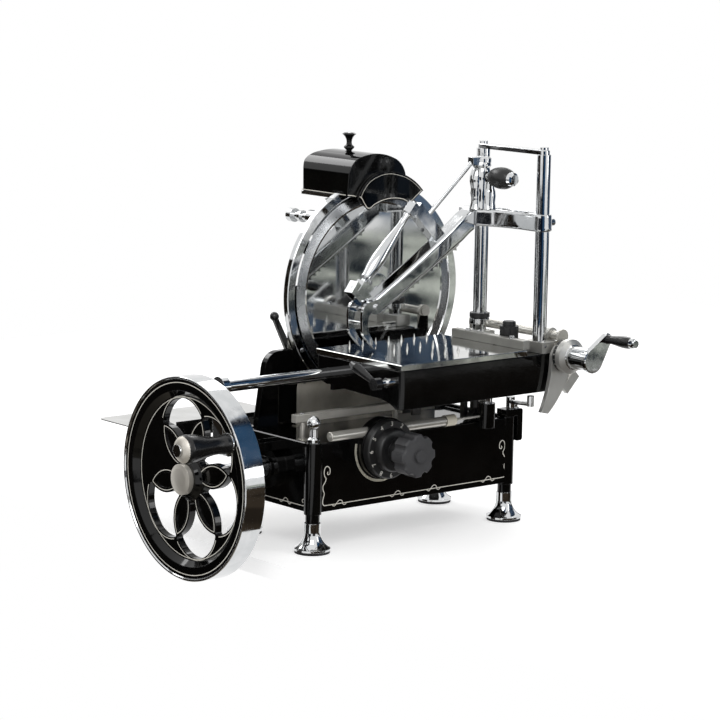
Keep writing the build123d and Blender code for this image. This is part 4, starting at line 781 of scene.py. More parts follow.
@dataclass
class BaseAndFeet(SubAssembly):
    """The cast base on its four bell feet, with its lined panels, brackets, bars and bushes."""

    finishes: dict[str, Finish] = field(
        default_factory=lambda: {
            "base_casting": ENAMEL,
            "base_brackets": ENAMEL,
            "foot_bells": CHROME,
            "foot_pads": RUBBER,
            "acorn_finial": CHROME,
            "bearing_bushes": BRONZE,
            "guide_bar": CHROME,
            "roller_rail": NICKEL_BAR,
            "main_shaft": SHAFT_STEEL,
            "bevel_pinion": CAST_IRON,
            "bevel_gear": CAST_IRON,
            "cross_shaft": SHAFT_STEEL,
            "rocker_arm": CAST_IRON,
        }
    )
    end_x: float = 198.0
    face_y: float = 90.0
    front_x: float = -179.0
    front_length: float = 362.0
    front_z: float = 69.0
    end_y: float = 72.0
    end_length: float = 144.0
    end_z: float = 68.0
    front_waves_x: tuple[float, ...] = (-146.0, -34.5, 37.6, 148.0)
    scroll_length: float = 200.0  # a shorter panel ends in hooks
    bracket_x: float = -280.0  # left of this the left bracket is bright
    bush_x: float = -200.0  # left of this a bush's outside is enamelled
    bush_r: float = 11.5
    rail_y: float = -40.0
    rail_top_z: float = 198.0
    rail_screws_x: tuple[float, ...] = (-178.0, 0.0, 176.0)

    # how far along the panel the bottom line's knots are
    KNOTS = (0.02, 0.35, 0.65, 0.98)
    # the painted shapes, along the panel and up, in millimetres
    SCROLL = (
        (9.5, 50.0), (8.5, 46.5), (12.0, 46.0), (13.5, 50.5), (11.0, 56.5), (6.0, 57.5),
        (2.6, 52.0), (3.0, 45.0), (6.0, 39.0), (3.6, 34.0), (0.8, 30.0), (0.6, 24.0),
        (3.0, 18.0), (1.4, 12.0), (0.2, 6.0), (2.0, 1.0), (8.0, 0.0),
    )
    WAVE = (
        (-15, -0.5), (-11, -2.6), (-6, 1.5), (-1, 5.0), (4, 3.0), (6, -2.0), (10, -2.4), (13, 0.5),
    )
    HOOK = ((6.0, 0.0), (1.0, 1.2), (-1.6, 5.0), (0.4, 9.6), (4.6, 9.2), (5.2, 5.8), (2.8, 5.2))
    # each bolt's place, direction and turn
    KNUCKLE_BOLT = ((138, -92, 190), UP, 12.0)
    BRACKET_BOLTS = (
        ((206, -20, 150), RIGHT, 8.0),
        ((206, -20, 196), RIGHT, 21.0),
        ((-262, -20, 161), UP, 14.0),
        ((207, -82, 174), UP, 5.0),
    )

    def panel(
        self, label: str, left: Vector, across: Vector, normal: Vector, length: float,
        waves: list[float],
    ) -> None:
        """Lines one face of the base: a bottom line, waves on it and a scroll or hook at each end.

        Args:
            label: the face's name.
            left: the left end of the bottom line in millimetres.
            across: the direction along it.
            normal: the face's outward normal.
            length: its length in millimetres.
            waves: where the waves are along it, in millimetres.
        """

        def painted(name: str, path: tuple, start: Vector, way: int, width: float) -> Piece:
            """Paints a shape from a point of the line, to the right, or with way -1 to the left."""
            points = [start + way * u * across + v * UP for u, v in path]
            return Bench.stripe(f"{label}_{name}", points, normal, width)

        base = [left + t * length * across for t in self.KNOTS]
        lines = [Bench.stripe(f"{label}_line", base, normal)]
        for number, u in enumerate(waves, 1):
            lines.append(painted(f"wave_{number}", self.WAVE, left + u * across, 1, 1.4))
        right = left + length * across
        if length > self.scroll_length:
            lines.append(painted("scroll_left", self.SCROLL, left, 1, 1.6))
            lines.append(painted("scroll_right", self.SCROLL, right, -1, 1.6))
        else:
            lines.append(painted("hook_1", self.HOOK, left, 1, 1.4))
            lines.append(painted("hook_2", self.HOOK, right, -1, 1.4))
        fit(lines, LINE_PAINT, "frame")

    def add_pieces(self) -> None:
        """Adds the bright ends, the lining, the bolts and the rail's screws."""
        dress_zone("base_brackets", CHROME, lambda c: c.x < self.bracket_x)
        dress_zone(
            "bearing_bushes",
            ENAMEL,
            lambda c: c.x < self.bush_x and math.hypot(c.y, c.z - WHEEL_AXIS_Z) > self.bush_r,
        )
        front = Vector((self.front_x, -self.face_y, self.front_z))
        waves = [x - self.front_x for x in self.front_waves_x]
        self.panel("front", front, RIGHT, FRONT, self.front_length, waves)
        left = Vector((-self.end_x, self.end_y, self.end_z))
        self.panel("left_end", left, FRONT, LEFT, self.end_length, [36.0, 100.0])
        right = Vector((self.end_x, -self.end_y, self.end_z))
        self.panel("right_end", right, REAR, RIGHT, self.end_length, [44.0, 100.0])
        knuckle = Bench.hex_bolt("knuckle_bolt", flats=13.0, height=6.0)
        fit(Bench.stand(knuckle, *self.KNUCKLE_BOLT), CHROME, "frame")
        bolt = Bench.hex_bolt("bracket_bolt", flats=9.0, height=4.0)
        fit(Bench.repeat(bolt, self.BRACKET_BOLTS), CHROME, "frame")
        spots = [((x, self.rail_y, self.rail_top_z), UP, 30.0 + x) for x in self.rail_screws_x]
        screws = Bench.repeat(Bench.slot_screw("rail_screw", radius=3.4, height=1.2), spots)
        fit(screws, SHAFT_STEEL, "frame")


@dataclass
class Flywheel(SubAssembly):
    """The dished flywheel with its petal openings, painted lines, hub cap and turning grip."""

    finishes: dict[str, Finish] = field(
        default_factory=lambda: {
            "flywheel": ENAMEL,
            "flywheel_fittings": HUB_CAP,
            "flywheel_grip": GRIP_BLACK,
        }
    )
    rim_x: float = -363.0
    web_x: float = -354.0
    rim_r: float = 144.2  # beyond this radius the rim is bright
    spindle_r: float = 60.0  # beyond this radius the fittings are the grip's spindle
    ferrule_x: float = -446.0  # left of this the grip is its end ferrule
    rim_line_r: float = 139.5
    web_line_r: float = 117.5
    petals: int = 6
    petal_d: float = 65.5
    petal_r: float = 51.0
    spoke_line_in: float = 3.5
    petal_line_out: float = 2.6
    petal_line_deg: float = 62.0
    solid_deg: float = 162.0  # the direction of the petal that has no arc on its outer side
    grip_y: float = -109.2
    grip_z: float = 185.6
    collar_x: float = -369.0
    button_x: float = -454.0

    COLLAR = [(0, 15.4), (2.2, 15.4), (3.4, 14.3), (3.4, 9.0)]
    BUTTON = [(0, 8.4), (1.0, 8.4), (1.8, 7.2), (2.0, 3.0), (1.2, 2.4), (1.2, 0.6)]

    def from_axis(self, point: Vector) -> float:
        """Returns how far a point is from the wheel's axis, in millimetres."""
        return math.hypot(point.y, point.z - WHEEL_AXIS_Z)

    def circle(self, name: str, x: float, radius: float, knots: int = 48) -> Piece:
        """Paints a whole circle round the wheel's axis.

        Args:
            name: the piece's name.
            x: where its plane is.
            radius: the line's radius.
            knots: how many points it passes.

        Returns:
            The painted line.
        """
        steps = [360 * n / knots for n in range(knots)]
        points = ring_points(Vector((x, 0, WHEEL_AXIS_Z)), radius, FRONT, UP, steps)
        return Bench.stripe(name, points, LEFT, closed=True)

    def arc(
        self, name: str, petal_deg: float, radius: float, start: float, end: float, steps: int = 14
    ) -> Piece:
        """Paints part of a circle round a petal's centre.

        Args:
            name: the piece's name.
            petal_deg: the petal's direction from the wheel's axis.
            radius: the line's radius in millimetres.
            start: the line's first angle, from the petal's own direction.
            end: its last angle.
            steps: how many steps lie between its points.

        Returns:
            The painted line.
        """
        hub = Vector((self.web_x, 0, WHEEL_AXIS_Z))
        centre = ring_points(hub, self.petal_d, FRONT, UP, [petal_deg])[0]
        angles = [petal_deg + start + (end - start) * n / steps for n in range(steps + 1)]
        points = ring_points(centre, radius, FRONT, UP, angles)
        return Bench.stripe(name, points, LEFT, width=1.4)

    def add_pieces(self) -> None:
        """Adds the bright rim, the painted lines and the grip's collar and button."""
        dress_zone("flywheel", CHROME, lambda c: self.from_axis(c) > self.rim_r)
        dress_zone("flywheel_fittings", CHROME, lambda c: self.from_axis(c) > self.spindle_r)
        dress_zone("flywheel_grip", HUB_CAP, lambda c: c.x < self.ferrule_x)
        lines = [
            self.circle("rim_line_outer", self.rim_x, self.rim_line_r),
            self.circle("web_line_outer", self.web_x, self.web_line_r),
        ]
        # each spoke is lined on both edges, between the points where the circles of its two petals
        # cross; towards is the direction from one petal's centre to the next one's
        inner = self.petal_r - self.spoke_line_in
        half = math.degrees(math.acos(self.petal_d / 2 / inner))
        pitch = 360 // self.petals
        towards = 90 + pitch / 2
        for number in range(self.petals):
            angle = self.solid_deg + pitch * number
            near, far = towards - half, towards + half
            lines.append(self.arc(f"spoke_line_a_{number}", angle, inner, near, far))
            lines.append(self.arc(f"spoke_line_b_{number}", angle + pitch, inner, -far, -near))
            if number:
                outer, highlight_points = self.petal_r + self.petal_line_out, self.petal_line_deg
                lines.append(self.arc(f"petal_line_{number}", angle, outer, -highlight_points, highlight_points))
        fit(lines, LINE_PAINT, "wheel")
        for name, rings, sides, x, along in (
            ("grip_collar", self.COLLAR, 48, self.collar_x, RIGHT),
            ("grip_end_button", self.BUTTON, 32, self.button_x, LEFT),
        ):
            ring = Bench.turned(name, rings, sides)
            Bench.stand(ring, (x, self.grip_y, self.grip_z), along)
            fit(ring, CHROME, "wheel")


@dataclass
class BladeGroup(SubAssembly):
    """The round blade in its guard ring, on the black column, with the chain behind it."""

    finishes: dict[str, Finish] = field(
        default_factory=lambda: {
            "blade": BLADE_FACE,
            "blade_shaft": CHROME,
            "guard_ring": CHROME,
            "blade_column": ENAMEL,
            "chain_case": ENAMEL,
            "drive_chain": CHAIN_STEEL,
            "drive_sprocket": CAST_IRON,
            # the splash plate's beige colour is a painted reflection on satin stainless sheet
            "splash_plate": SHEET_WITH_PAINTED_REFLECTION,
            "slice_deflector": STAINLESS,
            "deflector_lever": GRIP_BLACK,
            "receiving_tray": STAINLESS,
        }
    )
    ring_face_y: float = 68.0
    hub_face_y: float = 62.0
    case_y: float = 120.0
    shield_y: float = 56.0
    bevel_r: float = 137.0  # beyond this radius the blade is its bevel
    hub_screws_r: float = 18.0
    ring_screws_r: float = 161.7

    CENTRE_CAP = [(0, 7.5), (1.2, 7.5), (2.6, 6.0), (3.0, 3.0), (3.1, 0.5)]
    # the screws' places, as X and Z
    CASE_SCREWS = ((46, 374), (46, 78), (10, 116), (82, 116), (22, 260), (70, 260))
    SHIELD_SCREWS = ((-98, 224), (0, 224), (150, 224))

    def round_blade(self, y: float, radius: float, degrees: list[float], turn: float) -> list:
        """Returns the places of screws round the blade's axis.

        Args:
            y: the plane that they sit on.
            radius: how far they are from the axis.
            degrees: each screw's direction.
            turn: how far each slot is turned past the last one's, in degrees.

        Returns:
            The places, for Bench.repeat.
        """
        axis_x, _, axis_z = BLADE_AXIS_MM
        points = ring_points(Vector((axis_x, y, axis_z)), radius, RIGHT, UP, degrees)
        return [(point, FRONT, turn * n) for n, point in enumerate(points)]

    def add_pieces(self) -> None:
        """Adds the blade's bevel, its screws and cap, and the screws of ring, case and shield."""
        axis_x, _, axis_z = BLADE_AXIS_MM
        dress_zone(
            "blade",
            BLADE_BEVEL,
            lambda c: math.hypot(c.x - axis_x, c.z - axis_z) > self.bevel_r,
        )
        spots = self.round_blade(self.hub_face_y, self.hub_screws_r, [45, 135, 225, 315], 25.0)
        screws = Bench.repeat(Bench.slot_screw("blade_screw", radius=3.4, height=1.3), spots)
        fit(screws, SHAFT_STEEL, "blade")
        cap = Bench.turned("blade_centre_cap", self.CENTRE_CAP, sides=40)
        Bench.stand(cap, (axis_x, self.hub_face_y, axis_z), FRONT)
        fit(cap, CHROME, "blade")
        spots = self.round_blade(self.ring_face_y, self.ring_screws_r, [30, 150, 210, 330], 40.0)
        screws = Bench.repeat(Bench.slot_screw("ring_screw", radius=3.6, height=0.9), spots)
        fit(screws, SHAFT_STEEL, "frame")
        spots = [
            ((x, self.case_y, z), REAR, 35.0 * n) for n, (x, z) in enumerate(self.CASE_SCREWS)
        ]
        screws = Bench.repeat(Bench.slot_screw("case_screw", radius=3.6, height=1.6), spots)
        fit(screws, CHROME, "frame")
        spots = [
            ((x, self.shield_y, z), FRONT, 20.0 * n) for n, (x, z) in enumerate(self.SHIELD_SCREWS)
        ]
        screws = Bench.repeat(Bench.slot_screw("shield_screw", radius=3.2, height=1.1), spots)
        fit(screws, SHAFT_STEEL, "frame")


@dataclass
class Sharpener(SubAssembly):
    """The two stones on their bracket, under the lined black cover."""

    finishes: dict[str, Finish] = field(
        default_factory=lambda: {
            "sharpener_bracket": CHROME,
            "sharpener_spindle": CHROME,
            "grinding_stone": COARSE_STONE,
            "honing_stone": FINE_STONE,
            "sharpener_cover": ENAMEL,
        }
    )
    visor_y: float = 44.0
    box_y: float = 50.0
    side_x: float = -25.0
    hem_z: float = 502.4

    # the lines' points, as X and Z
    VISOR_HEM = (
        (-6, 500), (-2.5, 498), (4, 489), (12, 481.4), (24, 487), (40, 492.3), (60, 494.4),
        (80, 492), (94, 487.6), (107, 495.5), (118, 503.6),
    )
    # the crown's points carry a thin off-white line that is a painted highlight on the visor's
    # rounded upper edge, not a lining
    VISOR_CROWN = (
        (-3, 499), (2, 508), (14, 520.6), (30, 528.2), (50, 531.6), (70, 529), (90, 522.4),
        (104, 514), (116, 504.6),
    )
    BOX_CORNER = ((-24.4, 502.4), (-16, 501.6), (-8, 499.8))
    SIDE_KNOTS_Y = (160, 130, 90, 54)

    def add_pieces(self) -> None:
        """Adds the painted lines of the visor and of the cover's hem, and a painted highlight along
        the visor's crown.
        """
        for name, path, y, width in (
            ("visor_line", self.VISOR_HEM, self.visor_y, 1.5),
            # the crown line is a painted highlight, not a painted lining
            ("visor_crown_line", self.VISOR_CROWN, self.visor_y, 0.8),
            ("cover_corner_line", self.BOX_CORNER, self.box_y, 1.5),
        ):
            line = Bench.stripe(name, [Vector((x, y, z)) for x, z in path], FRONT, width)
            fit(line, LINE_PAINT, "cover")
        edge = [Vector((self.side_x, y, self.hem_z)) for y in self.SIDE_KNOTS_Y]
        line = Bench.stripe("cover_edge_line", edge, LEFT)
        fit(line, LINE_PAINT, "cover")


@dataclass
class CarriageGroup(SubAssembly):
    """The sliding carriage with the spiked table, the column blocks and the feed screw's crank."""

    finishes: dict[str, Finish] = field(
        default_factory=lambda: {
            "carriage_body": ENAMEL,
            "carriage_hangers": CAST_IRON,
            "feed_bracket": ENAMEL,
            "table_guide_bar": NICKEL_BAR,
            "roller": SHAFT_STEEL,
            "meat_table": STAINLESS,
            "column_blocks": ALUMINIUM,
            "columns": CHROME,
            "top_bar": CHROME,
            "feed_screw": SHAFT_STEEL,
            "feed_ring": PHENOLIC,
            "feed_crank": CHROME,
            "crank_grip": GRIP_BLACK,
            "ratchet_arm": ALUMINIUM,
            "fence_bar": ANODISED,
            "fence_knob": PHENOLIC,
            "release_lever": GRIP_BLACK,
            "trip_finger": CHROME,
        }
    )
    scale_at: tuple[float, float, float] = (194.0, -203.6, 272.5)
    scale_r: float = 24.0
    scale_marks: int = 20
    crank_hub_y: float = -222.0  # behind this the crank is its satin hub
    grip_cap_y: float = -313.5  # in front of this the grip is its bright cap
    collar_y: float = -60.0  # the black collar is on the column behind this
    collar_z: tuple[float, float] = (308.0, 320.0)
    column_at: tuple[float, float] = (174.0, -33.0)
    column_r: float = 10.7
    bracket_top_z: float = 286.0
    lever_hub_x: float = -141.0  # right of this the lever is bright

    # each one's place, direction and turn
    FENCE_BOLTS = (((133.5, -52, 297), UP, 10.0), ((133.5, -150, 297), UP, 37.0))
    BLOCK_SCREWS = (((168, -187, 286), FRONT, 0.0),)
    RELEASE_NUTS = (((-150, -172, 258), LEFT, 15.0),)

    def feed_scale(self) -> None:
        """Adds the marks and figures round the feed ring."""
        pitch = 360 / self.scale_marks
        for number in range(self.scale_marks):
            angle = pitch * number + pitch / 2
            out = ring_points(Vector(), 1.0, RIGHT, UP, [angle])[0]
            foot = Vector(self.scale_at) + self.scale_r * out
            if number % 2:
                name, text, height = f"feed_figure_{number}", str(number // 2), 3.6
            else:
                name, text, height = f"feed_mark_{number}", "|", 2.6
            mark = Bench.figure(name, text, height, foot, out, REAR)
            fit(mark, FIGURE_WHITE, "screw")

    def on_collar(self, point: Vector) -> bool:
        """Returns whether a point of the columns is on the black collar of the rear one.

        Args:
            point: a face's centre in millimetres.

        Returns:
            Whether it is on the collar.
        """
        low, high = self.collar_z
        x, y = self.column_at
        proud = math.hypot(point.x - x, point.y - y) > self.column_r
        return point.y > self.collar_y and low < point.z < high and proud

    def add_pieces(self) -> None:
        """Adds the second finishes, the feed ring's scale and the bolts."""
        dress_zone("feed_crank", ALUMINIUM, lambda c: c.y > self.crank_hub_y)
        dress_zone("crank_grip", CHROME, lambda c: c.y < self.grip_cap_y)
        dress_zone("columns", PHENOLIC, self.on_collar)
        dress_zone("feed_bracket", NICKEL_BAR, lambda c: c.z > self.bracket_top_z)
        self.feed_scale()
        bolt = Bench.hex_bolt("fence_bolt", flats=6.5, height=2.6)
        fit(Bench.repeat(bolt, self.FENCE_BOLTS), CHROME, "fence")
        screw = Bench.slot_screw("block_screw", radius=2.2, height=0.9)
        fit(Bench.repeat(screw, self.BLOCK_SCREWS), SHAFT_STEEL, "table")
        dress_zone("release_lever", CHROME, lambda c: c.x > self.lever_hub_x)
        nut = Bench.hex_bolt("release_nut", flats=7.0, height=3.0)
        fit(Bench.repeat(nut, self.RELEASE_NUTS), CHROME, "release")


@dataclass
class Clamp(SubAssembly):
    """The meat clamp: head on the columns, tower with its egg knob, arched arm, brace and claw."""

    finishes: dict[str, Finish] = field(
        default_factory=lambda: {
            "clamp_head": CHROME,
            "clamp_tower": CHROME,
            "clamp_arm": CHROME,
            "clamp_brace": CHROME,
            "toothed_strip": STAINLESS,
            "claw": CHROME,
            "clamp_knob": DIMPLED,
        }
    )
    knob_cap_y: float = -125.2  # in front of this the knob is its bright cap
    castings: tuple[str, ...] = ("clamp_head", "clamp_arm")
    skin_mm: float = 1.5
    polish_passes: int = 14
    post_foot_z: float = 483.0
    brace_low: Vector = field(default_factory=lambda: Vector((-84, -45, 370)))
    brace_high: Vector = field(default_factory=lambda: Vector((24, -45, 493)))
    sleeve_share: float = 0.09  # how far down the brace its sleeve starts

    # each turned post's name, place and rings
    POSTS = (
        (
            "clamp_post_left", (140.0, -57.0),
            [
                (0, 12.0), (3, 10.5), (9, 8.6), (17, 8.4), (24, 10.0), (30, 9.2), (34, 9.8),
                (42, 11.6), (50, 11.2), (58, 8.6), (62, 6.0),
            ],
        ),
        (
            "clamp_post_right", (153.5, -70.0),
            [
                (0, 12.6), (3, 10.8), (10, 9.8), (20, 10.8), (28, 9.8), (33, 7.8), (37, 8.4),
                (42, 7.0), (44, 2.0),
            ],
        ),
    )
    SLEEVE = [
        (0, 4.3), (2, 6.4), (5, 6.8), (8, 5.2), (26, 5.6), (58, 9.6), (86, 11.4), (104, 10.6),
        (116, 8.2), (122, 8.6), (125, 6.0), (126, 3.6),
    ]
    POST_CAP = [
        (0, 8.0), (0.5, 12.5), (4.0, 15.0), (9.0, 14.5), (13.0, 11.0), (15.0, 6.0), (15.4, 1.0),
    ]
    POST_CAP_AT = (146, -60, 545.0)
    NUTS = (((24, -48.5, 493), FRONT, 0.0),)

    def cast_round(self, node: str) -> None:
        """Rounds a casting's edges the way polishing before plating does.

        Args:
            node: the CAD node, which keeps its mesh under live modifiers.
        """
        piece = frame["nodes"][node]
        skin = piece.modifiers.new("even_skin", "REMESH")
        skin.mode = "VOXEL"
        skin.voxel_size = self.skin_mm * MM
        skin.use_smooth_shade = True
        soft = piece.modifiers.new("polished_edges", "SMOOTH")
        soft.factor = 0.5
        soft.iterations = self.polish_passes

    def add_pieces(self) -> None:
        """Adds the knob's cap, rounds the castings and adds the posts, sleeve and nut."""
        dress_zone("clamp_knob", CHROME, lambda c: c.y < self.knob_cap_y)
        for node in self.castings:
            self.cast_round(node)
        for name, (x, y), rings in self.POSTS:
            post = Bench.stand(Bench.turned(name, rings), (x, y, self.post_foot_z), UP)
            fit(post, CHROME, "clamp")
        sleeve = Bench.turned("clamp_brace_sleeve", self.SLEEVE)
        down = self.brace_low - self.brace_high
        Bench.stand(sleeve, self.brace_high + self.sleeve_share * down, down)
        fit(sleeve, CHROME, "clamp")
        cap = Bench.turned("clamp_post_cap", self.POST_CAP)
        fit(Bench.stand(cap, self.POST_CAP_AT, UP), CHROME, "clamp")
        nut = Bench.hex_bolt("clamp_nut", flats=8.0, height=3.0)
        fit(Bench.repeat(nut, self.NUTS), CHROME, "clamp")


@dataclass
class ThicknessDial(SubAssembly):
    """The numbered dial with its star knob, and the rack bar that it moves."""

    finishes: dict[str, Finish] = field(
        default_factory=lambda: {
            "dial_ring": PHENOLIC,
            "star_knob": STAR_GREY,
            "rack_bar": NICKEL_BAR,
        }
    )
    axis_x: float = -68.0
    axis_z: float = 144.0
    face_y: float = -112.9
    housing_y: float = -90.0
    figures: int = 12
    figure_r: float = 38.3
    figure_height: float = 7.0
    # radius of the painted highlight arc round the housing
    trim_r: float = 49.6
    rack_at: tuple[float, float] = (-92.0, 170.6)
    rack_r: float = 2.5
    stop_x: tuple[float, float] = (53.05, 72.3)

    DRUM = [
        (0, 33.0), (9.0, 32.4), (11.6, 31.2), (12.8, 29.0), (13.0, 20.0), (12.2, 19.0),
        (12.2, 17.0), (24.0, 16.0), (36.0, 17.5), (38.0, 12.0),
    ]

    def on_stop(self, point: Vector) -> bool:
        """Returns whether a point of the rack bar is on its nylon stop.

        Args:
            point: a face's centre in millimetres.

        Returns:
            Whether it is on the stop.
        """
        low, high = self.stop_x
        y, z = self.rack_at
        return low < point.x < high and math.hypot(point.y - y, point.z - z) > self.rack_r

    def add_pieces(self) -> None:
        """Adds the nylon stop, the drum, a painted highlight arc on the trim round the housing, and
        the figures.
        """
        dress_zone("rack_bar", NYLON, self.on_stop)
        face = Vector((self.axis_x, self.face_y, self.axis_z))
        drum = Bench.stand(Bench.turned("dial_drum", self.DRUM, sides=72), face, FRONT)
        fit(drum, PHENOLIC, "dial")
        housing = Vector((self.axis_x, self.housing_y, self.axis_z))
        # the pale arc runs only from 168 to 285 degrees: a painted highlight where light falls on
        # the trim
        lit_degrees = [168.0 + 9.0 * n for n in range(14)]
        highlight_points = ring_points(housing, self.trim_r, RIGHT, UP, lit_degrees)
        highlight_arc = Bench.stripe("dial_trim_arc", highlight_points, FRONT, width=4.4)
        fit(highlight_arc, TRIM_PAINTED_HIGHLIGHT, "frame")
        for number in range(self.figures):
            angle = 360 / self.figures * number
            out = ring_points(Vector(), 1.0, RIGHT, UP, [angle])[0]
            text = str(number) if number < 10 else "|"
            foot = face + self.figure_r * out
            name = f"dial_figure_{number}"
            mark = Bench.figure(name, text, self.figure_height, foot, FRONT, out)
            fit(mark, FIGURE_WHITE, "dial")


# ---------------------------------------------------------------- the studio
@dataclass
class Studio:
    """A white table top, a white surround, soft lamps and dark cards that only reflections see.

    Its sizes are in metres.
    """

    # each card's name, middle, facing, width, height and two tones
    CARDS = (
        ("card_front_floor", (0.8, -0.85, -0.03), UP, 2.6, 1.3, "#3c342b", "#2a241e"),
        ("card_front_far", (1.9, -2.3, -0.03), UP, 2.6, 1.55, "#1f262d", "#d2d6cc"),
        ("card_right_room", (1.9, -1.5, 1.65), LEFT, 3.0, 3.0, "#121b29", "#5d6f86"),
        ("card_wheel_side", (-0.72, 0.45, 0.02), RIGHT, 0.8, 0.95, "#15120f", "#241f1a"),
        ("card_left_high", (-0.95, 1.25, 0.36), RIGHT, 0.5, 1.0, "#1d1a16", "#2a2620"),
        ("card_left_floor", (-0.9, -0.2, -0.42), UP, 1.4, 1.6, "#2c2721", "#8a8478"),
        ("card_rim_room", (0.03, -0.46, 0.5), LEFT, 0.44, 0.42, "#0c1524", "#33506e"),
        ("card_streak_rear", (1.7, 1.1, 0.1), (-1.7, -1.1, 0), 1.4, 0.32, "#14161a", "#24272c"),
        ("card_streak_right", (2.0, 0.1, 0.1), LEFT, 1.4, 0.26, "#2a2723", "#4a453d"),
        ("card_streak_left", (-2.0, -0.5, 0.1), (2.0, 0.5, 0), 1.4, 0.4, "#1a1c20", "#2b2e34"),
        ("card_streak_front", (-0.7, -1.9, 0.1), (0.7, 1.9, 0), 1.4, 0.24, "#2a2a2c", "#47474a"),
    )
    # each soft box's name, middle, width, height and power in watts
    LAMPS = (
        ("key_soft_box", (-1.5, -1.5, 1.9), 1.2, 1.2, 16.0),
        ("rim_soft_box", (1.5, 1.3, 1.7), 1.0, 1.0, 9.0),
        ("back_soft_box", (-0.35, 2.4, 2.3), 1.4, 0.9, 18.0),
        ("front_strip", (1.1, -2.0, 1.0), 0.3, 1.4, 5.0),
    )
    lamps_face: Vector = field(default_factory=lambda: Vector((-0.05, 0.0, 0.3)))
    lens_mm: float = 137.7465
    sensor_mm: float = 36.0
    camera_at: Vector = field(default_factory=lambda: Vector((-2.66108, -3.13062, 0.92662)))
    camera_right: Vector = field(default_factory=lambda: Vector((0.767992, -0.640247, 0.016474)))
    camera_up: Vector = field(default_factory=lambda: Vector((0.090767, 0.134267, 0.986780)))
    view_end: float = 50.0
    world_light: float = 0.62
    top_size: tuple[float, float, float] = (2.46, 3.2, 0.024)
    top_at: tuple[float, float, float] = (0.95, 0.25, -0.012)
    top_grey: float = 0.86
    top_glow: float = 0.48  # lifts the top to white for the camera, and keeps its shadow
    tone_edge: tuple[float, float] = (0.46, 0.56)  # the noise between a card's two tones

    def camera(self) -> None:
        """Sets the camera that the photograph was taken with."""
        data = bpy.data.cameras.new("photo_camera")
        data.lens = self.lens_mm
        data.sensor_width = self.sensor_mm
        data.clip_end = self.view_end
        camera = bpy.data.objects.new("photo_camera", data)
        bpy.context.scene.collection.objects.link(camera)
        back = self.camera_right.cross(self.camera_up)
        camera.matrix_world = squared(self.camera_at, self.camera_right, self.camera_up, back)
        bpy.context.scene.camera = camera

    def surround(self) -> None:
        """Makes the world white to the eye and in reflections, and softer light on the object."""
        world = bpy.data.worlds.new("white_surround")
        tree = bare_tree(world)
        ray = add_node(tree, "ShaderNodeLightPath").outputs
        share = ray["Is Camera Ray"]
        for kind in ("Is Transmission Ray", "Is Glossy Ray"):
            either = add_node(tree, "ShaderNodeMath", {0: share, 1: ray[kind]}, operation="MAXIMUM")
            share = either.outputs[0]
        white = add_node(tree, "ShaderNodeBackground", {"Color": WHITE, "Strength": 1.0})
        light = {"Color": WHITE, "Strength": self.world_light}
        soft = add_node(tree, "ShaderNodeBackground", light)
        parts = {0: share, 1: soft.outputs[0], 2: white.outputs[0]}
        mixed = add_node(tree, "ShaderNodeMixShader", parts)
        add_node(tree, "ShaderNodeOutputWorld", {"Surface": mixed.outputs[0]})
        bpy.context.scene.world = world

    def table_top(self) -> None:
        """Lays the white table top, which ends short of the flywheel. Reflections don't see it."""
        bpy.ops.object.select_all(action="DESELECT")
        bpy.ops.mesh.primitive_cube_add(size=1, location=self.top_at)
        top = Bench.take("stage_table_top")
        top.scale = self.top_size
        bpy.ops.object.transform_apply(location=True, scale=True)
        made = bpy.data.materials.new("stage_white_laminate")
        tree = bare_tree(made)
        seen = add_node(tree, "ShaderNodeLightPath").outputs["Is Camera Ray"]
        grey = (self.top_grey, self.top_grey, self.top_grey, 1)
        matt = add_node(tree, "ShaderNodeBsdfDiffuse", {"Color": grey})
        shares = {0: seen, 1: self.top_glow}
        lift = add_node(tree, "ShaderNodeMath", shares, operation="MULTIPLY")
        light = {"Color": WHITE, "Strength": lift.outputs[0]}
        glow = add_node(tree, "ShaderNodeEmission", light)
        both = add_node(tree, "ShaderNodeAddShader", {0: matt.outputs[0], 1: glow.outputs[0]})
        add_node(tree, "ShaderNodeOutputMaterial", {"Surface": both.outputs[0]})
        top.data.materials.append(made)
        top.visible_glossy = False

    def card(
        self, name: str, at: Vector, facing: Vector, width: float, height: float, *tones: str
    ) -> None:
        """Stands a card that only reflections see.

        Args:
            name: the card's name.
            at: its middle.
            facing: its normal.
            width: its width.
            height: its height.
            *tones: the two colours that it drifts between.
        """
        bpy.ops.object.select_all(action="DESELECT")
        bpy.ops.mesh.primitive_plane_add(size=1, location=(0, 0, 0))
        card = Bench.take(name)
        card.scale = (width, height, 1)
        bpy.ops.object.transform_apply(scale=True)
        card.matrix_world = aimed(at, facing)
        bpy.ops.object.transform_apply(location=True, rotation=True)
        card.data.materials.append(self.card_paper(name, *tones))
        card.visible_camera = False
        card.visible_diffuse = False
        card.visible_shadow = False
        card.visible_transmission = False

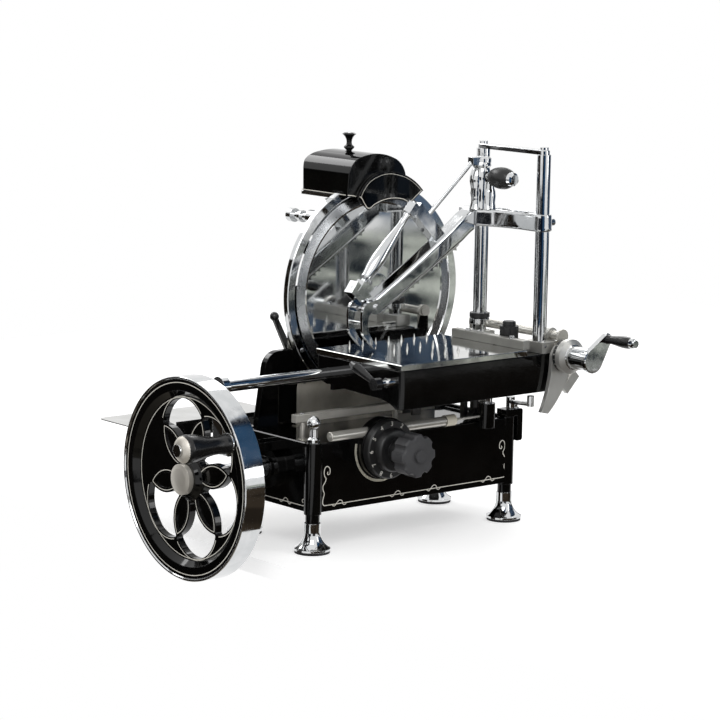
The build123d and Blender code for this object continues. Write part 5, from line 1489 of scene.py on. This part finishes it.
    def card_paper(self, name: str, first: str, second: str) -> bpy.types.Material:
        """Makes a card's glow, whose patches stand for a room in chrome and enamel.

        Args:
            name: the card's name.
            first: one colour of the patches.
            second: the other.

        Returns:
            The new material.
        """
        made = bpy.data.materials.new(name)
        tree = bare_tree(made)
        place = add_node(tree, "ShaderNodeTexCoord").outputs["Object"]
        cloud = add_node(tree, "ShaderNodeTexNoise", {"Vector": place, "Scale": 3.2, "Detail": 1.5})
        low, high = self.tone_edge
        limits = {"Value": cloud.outputs[0], "From Min": low, "From Max": high}
        share = add_node(tree, "ShaderNodeMapRange", limits).outputs[0]
        colours = {MIX_SHARE: share, MIX_A: linear(first), MIX_B: linear(second)}
        tone = add_node(tree, "ShaderNodeMix", colours, data_type="RGBA")
        light = {"Color": tone.outputs[MIX_RESULT], "Strength": 1.0}
        glow = add_node(tree, "ShaderNodeEmission", light)
        add_node(tree, "ShaderNodeOutputMaterial", {"Surface": glow.outputs[0]})
        return made

    def lamp(self, name: str, at: Vector, width: float, height: float, power: float) -> None:
        """Hangs a soft box that faces the object.

        Args:
            name: the lamp's name.
            at: its middle.
            width: its width.
            height: its height.
            power: its power in watts.
        """
        data = bpy.data.lights.new(name, "AREA")
        data.shape = "RECTANGLE"
        data.size = width
        data.size_y = height
        data.energy = power
        lamp = bpy.data.objects.new(name, data)
        bpy.context.scene.collection.objects.link(lamp)
        lamp.matrix_world = aimed(at, self.lamps_face - at, "-Z")

    def build(self) -> None:
        """Sets up the camera, the surround, the table top, the lamps and the cards."""
        bpy.context.scene.view_settings.view_transform = "Standard"
        self.camera()
        self.surround()
        self.table_top()
        for name, at, *size_and_power in self.LAMPS:
            self.lamp(name, Vector(at), *size_and_power)
        for name, at, facing, *size_and_tones in self.CARDS:
            self.card(name, Vector(at), Vector(facing), *size_and_tones)


def main() -> None:
    """Builds the slicer's sub-assemblies and the studio."""
    groups = (BaseAndFeet, Flywheel, BladeGroup, Sharpener, CarriageGroup, Clamp, ThicknessDial)
    for group in groups:
        before = set(bpy.data.objects)
        group().build()
        added = sorted(o.name for o in set(bpy.data.objects) - before)
        LOG.info("%s: %d pieces added: %s", group.__name__, len(added), ", ".join(added))
    Studio().build()


if __name__ == "__main__":
    main()
